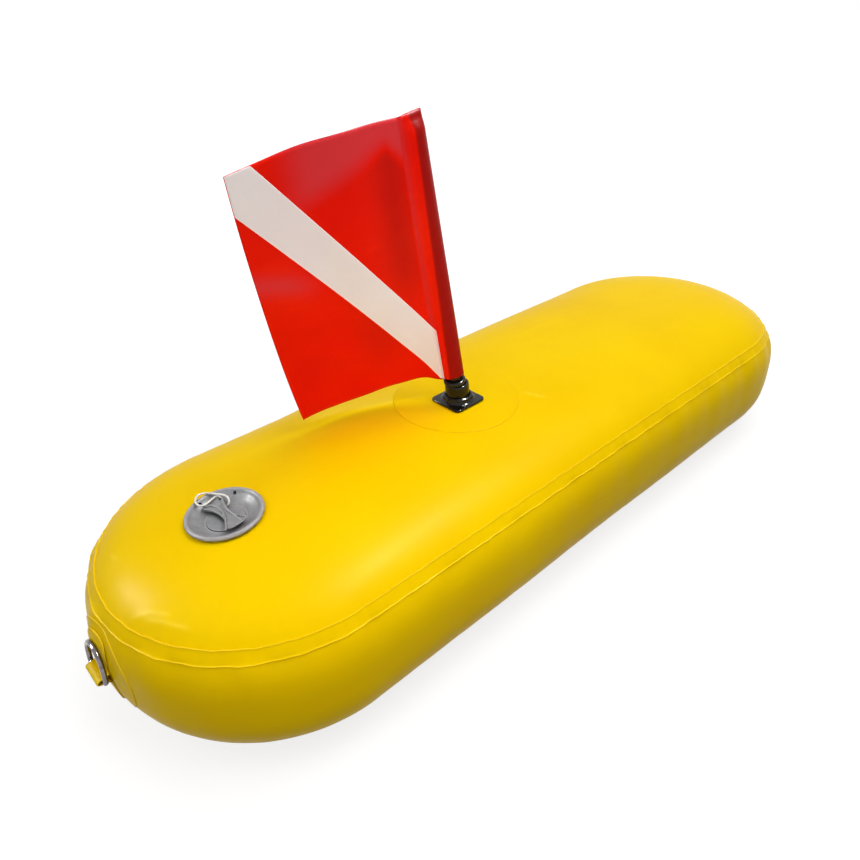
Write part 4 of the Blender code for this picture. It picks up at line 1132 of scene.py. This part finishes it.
def flag_row(hoist):
    """A closed section of the flag's sheet: its skin, its bore and the painted light and shade on the skin's
    points.
    """
    half = pvc_sheet / 2
    opening = math.acos(loop_radius / sleeve_tip)
    shut = 0.86 * fade(hoist * flag_hoist, flag_hoist - 0.016, flag_hoist - 0.003)
    hem = (1.0 - min(hoist / 0.08, 1.0)) ** 2
    level = Vector((0, 0, sleeve_foot + flag_hoist * hoist))
    heading = sheet_angle(sleeve_tip / flag_fly, hoist)
    outward = Vector((-math.cos(heading), -math.sin(heading), 0.0))
    side = Vector((math.sin(heading), -math.cos(heading), 0.0))
    outer, inner = [], []
    for step in range(sleeve_steps + 1):
        angle = opening + (math.tau - 2 * opening) * step / sleeve_steps
        across, along = math.cos(angle), math.sin(angle)
        way = outward * across + side * along
        spoke = outward * across + side * along * (1.0 - shut * abs(along) ** 0.25)
        spoke -= outward * 0.30 * max(-across, 0.0) ** 1.5 * (1.0 - 0.4 * hoist)
        spoke.z = (0.32 - 0.20 * across + 0.20 * max(along, 0.0)) * hem
        middle = level + spoke * loop_radius
        outer.append(middle + way * half)
        inner.append(middle - way * half * (1.0 - 0.55 * shut))
    line = sheet_line(hoist, [sleeve_tip] + sheet_distances)
    near = [point + way * pvc_sheet for point, way in line[:2]]
    near += [point + way * half for point, way in line[1:]]
    far = [point - way * half for point, way in line]
    # The sleeve is painted darker beyond its first few steps on the near side: painted shade on the round
    # sleeve turned from the light.
    sleeve_painted_shade = [-0.80 * fade(step, 2.0, 5.5) for step in range(sleeve_steps + 1)]
    tones = [sheet_painted_light(distance / flag_fly, hoist) for distance in sheet_distances]
    # Pale marks on the weld and on the sleeve's tip on the far side: painted highlights.
    weld_edge, sleeve_edge = [0.35, 0.5, 0.1], [0.1]
    wear_and_painted_light = tones[:0:-1] + weld_edge + sleeve_painted_shade + sleeve_edge + tones
    return near[::-1] + outer + far, inner + [level + outward * (sleeve_tip - half)], wear_and_painted_light


def make_flag_sheet():
    """One folded sheet: the fly, the doubled weld and the sleeve, pinched shut over the pole's end."""
    skins, bores, marks = zip(*[flag_row(row / flag_rows) for row in range(flag_rows + 1)])
    ring, bore, rows = len(skins[0]), len(bores[0]), flag_rows + 1
    faces = []
    for start, width in ((0, ring), (rows * ring, bore)):
        for row in range(flag_rows):
            for i in range(width):
                k = (i + 1) % width
                a, b = start + row * width, start + (row + 1) * width
                faces.append((a + i, a + k, b + k, b + i))
    near_count = flag_columns + 3
    for row in (0, flag_rows):
        skin, bore_start = row * ring, rows * ring + row * bore
        near = [skin + near_count - 1 - i for i in range(near_count)]
        outer = [skin + near_count + i for i in range(sleeve_steps + 1)]
        far = [outer[-1] + 1 + i for i in range(flag_columns + 2)]
        inner = [bore_start + i for i in range(sleeve_steps + 1)]
        throat = inner[-1] + 1
        facing = far[:2] + far[1:]
        for i in range(near_count - 1):
            faces.append(tuple(dict.fromkeys((near[i], near[i + 1], facing[i + 1], facing[i]))))
        for i in range(sleeve_steps):
            faces.append((outer[i], outer[i + 1], inner[i + 1], inner[i]))
        faces += [(near[0], outer[0], inner[0], throat), (far[0], throat, inner[-1], outer[-1]),
                  (near[0], throat, far[0])]
    points = [pole_matrix @ point for part in skins + bores for point in part]
    wear_and_painted_light = [mark for row in marks for mark in row]
    return dress(object_from("flag_sheet", points, faces, red, wear_and_painted_light), "flag", "pvc_red", "flag_panel")


def stripe_limits(distance):
    """The stripe's lower and upper edge over the flag's foot, at a distance from the pole."""
    sleeve_out = loop_radius + pvc_sheet / 2
    slope = flag_hoist / (flag_fly + sleeve_out)
    middle = (distance + sleeve_out) * slope
    spread = stripe_width / 2 * math.sqrt(1.0 + slope * slope)
    return max(0.0, middle - spread), min(flag_hoist, middle + spread)


def make_stripe(name, side, start, replaced):
    """A thin strip that follows the sheet from the sleeve to the fly edge, its edges pressed down."""
    cells = 24
    distances = [start] + [distance for distance in sheet_distances if distance > start + 0.0010]
    distances[-1] -= stripe_end_gap
    outer, inner, wear_and_painted_light = [], [], []
    for distance in distances:
        low, high = stripe_limits(distance)
        doubled = pvc_sheet if side > 0 and distance < sheet_start + 0.0006 else pvc_sheet / 2
        for cell in range(cells + 1):
            share = math.sin((cell / cells - 0.5) * math.pi) / 2 + 0.5
            point, way = sheet_line((low + (high - low) * share) / flag_hoist, [distance])[0]
            from_middle = abs(2.0 * share - 1.0)
            thick = stripe_sheet * (1.25 - 0.75 * fade(from_middle, 0.965, 1.0))
            outer.append(pole_matrix @ (point + side * way * (doubled + thick)))
            inner.append(pole_matrix @ (point + side * way * (doubled + stripe_lift)))
            wear_and_painted_light.append(0.8 * fade(from_middle, 0.90, 0.985))
    faces = shell_faces(len(distances), cells + 1, False)
    return dress(object_from(name, outer + inner, faces, white, wear_and_painted_light), "flag", "pvc_white", replaced)


def make_flag():
    sheet = make_flag_sheet()
    stripes = [make_stripe("stripe_front", 1.0, sleeve_tip - 0.0010, "stripe_near"),
               make_stripe("stripe_back", -1.0, sheet_start, "stripe_far")]


# Valve

grip_rib_level = 0.0035
grip_rib_radius = 0.00125
grip_ribs = [
    [(-0.0112, 0.0236), (-0.0090, 0.0226), (-0.0045, 0.0199), (-0.0013, 0.0134), (-0.0005, 0.0066),
     (-0.0012, 0.0000), (-0.0030, -0.0068), (-0.0062, -0.0142), (-0.0097, -0.0209), (-0.0128, -0.0250)],
    [(0.0096, 0.0222), (0.0087, 0.0193), (0.0065, 0.0125), (0.0050, 0.0053), (0.0047, -0.0010),
     (0.0049, -0.0066), (0.0053, -0.0155), (0.0062, -0.0234)],
]


def make_dish():
    """The dish: a rolled lip, a smooth bowl and the undercut that holds the seat's ring."""
    lip = dish_lip_height
    outline = [(0.0326, 0.0), (0.0355, 0.0), (0.0376, 0.0002), (0.0388, 0.0008), (0.0394, 0.0018),
               (dish_radius, 0.0028), (0.0393, 0.0038), (0.0387, lip - 0.0005), (0.0378, lip - 0.0001),
               (0.0369, lip), (0.0360, lip - 0.0004), (0.0351, lip - 0.0013), (0.0340, lip - 0.0026),
               (0.0326, lip - 0.0041), (0.0308, 0.0000), (0.0292, -0.0012), (0.0276, -0.0022),
               (0.0260, -0.0030), (0.0244, -0.0036), (0.0232, -0.0039), (0.0222, -0.0040), (0.0214, -0.0040),
               (0.0211, -0.0041), (0.0210, -0.0042), (0.0228, -0.0042), (0.0228, -0.0058), (0.0208, -0.0058),
               (0.0208, -0.0150), (0.0234, -0.0150), (0.0234, -0.0084), (0.0268, -0.0055), (0.0300, -0.0020),
               (0.0314, -0.0001)]
    dish = turned("valve_dish", outline, grey, 192, valve_matrix)
    # The pits are cut with black cutters, which leave their black on the pits' walls: painted shade in the
    # holes.
    pit_floor, pit_radius, pits = 0.0003, 0.0017, []
    pit = [(0.0, pit_floor), (pit_radius, pit_floor), (pit_radius, 0.0060), (0.0, 0.0060)]
    for azimuth in map(math.radians, rim_pit_azimuths_deg):
        spot = (rim_pit_reach * math.cos(azimuth), rim_pit_reach * math.sin(azimuth), 0.0)
        pits.append(turned("rim_pit", pit, black, 24, valve_matrix @ Matrix.Translation(spot)))
    cut_away(dish, *pits)
    dress(dish, "float", "moulded_grey", "valve_flange")


def bead(points, radius, matrix):
    """A round bar through points, as a mesh."""
    line = round_line("bead_line", [matrix @ point for point in smooth_route(points, radius * 0.8)], radius)
    mesh = evaluated_mesh(line)
    bpy.data.objects.remove(line)
    return linked("bead", mesh)


def make_plug():
    parts = [copy_of(nodes["valve_plug"])]
    for rib in grip_ribs:
        parts.append(bead([(x, y, grip_rib_level) for x, y in rib], grip_rib_radius, valve_matrix))
    plug = remeshed("plug_with_grip", parts, voxel=0.00028, rounds=5, material=grey)
    dress(plug, "plug", "moulded_grey", "valve_plug")


make_stage()
make_plug_cord()
make_bladder()
make_seam_band("seam_weld_top", 1.0, "seam_band_top")
make_seam_band("seam_weld_bottom", -1.0, "seam_band_bottom")
make_socket_patch()
make_nose_patch()
make_strap()
make_ring()
make_socket()
make_flag()
make_dish()
make_plug()

materials_by_slot = {
    "pvc_yellow": yellow, "pvc_red": red, "pvc_white": white, "moulded_black": black,
    "moulded_grey": grey, "rubber_black": rubber, "cord_white": cord_white, "stainless": steel,
}
for node in nodes.values():
    held = [slot.name for slot in node.data.materials]
    node.data.materials.clear()
    node.data.materials.append(materials_by_slot.get(held[0] if held else "", yellow))
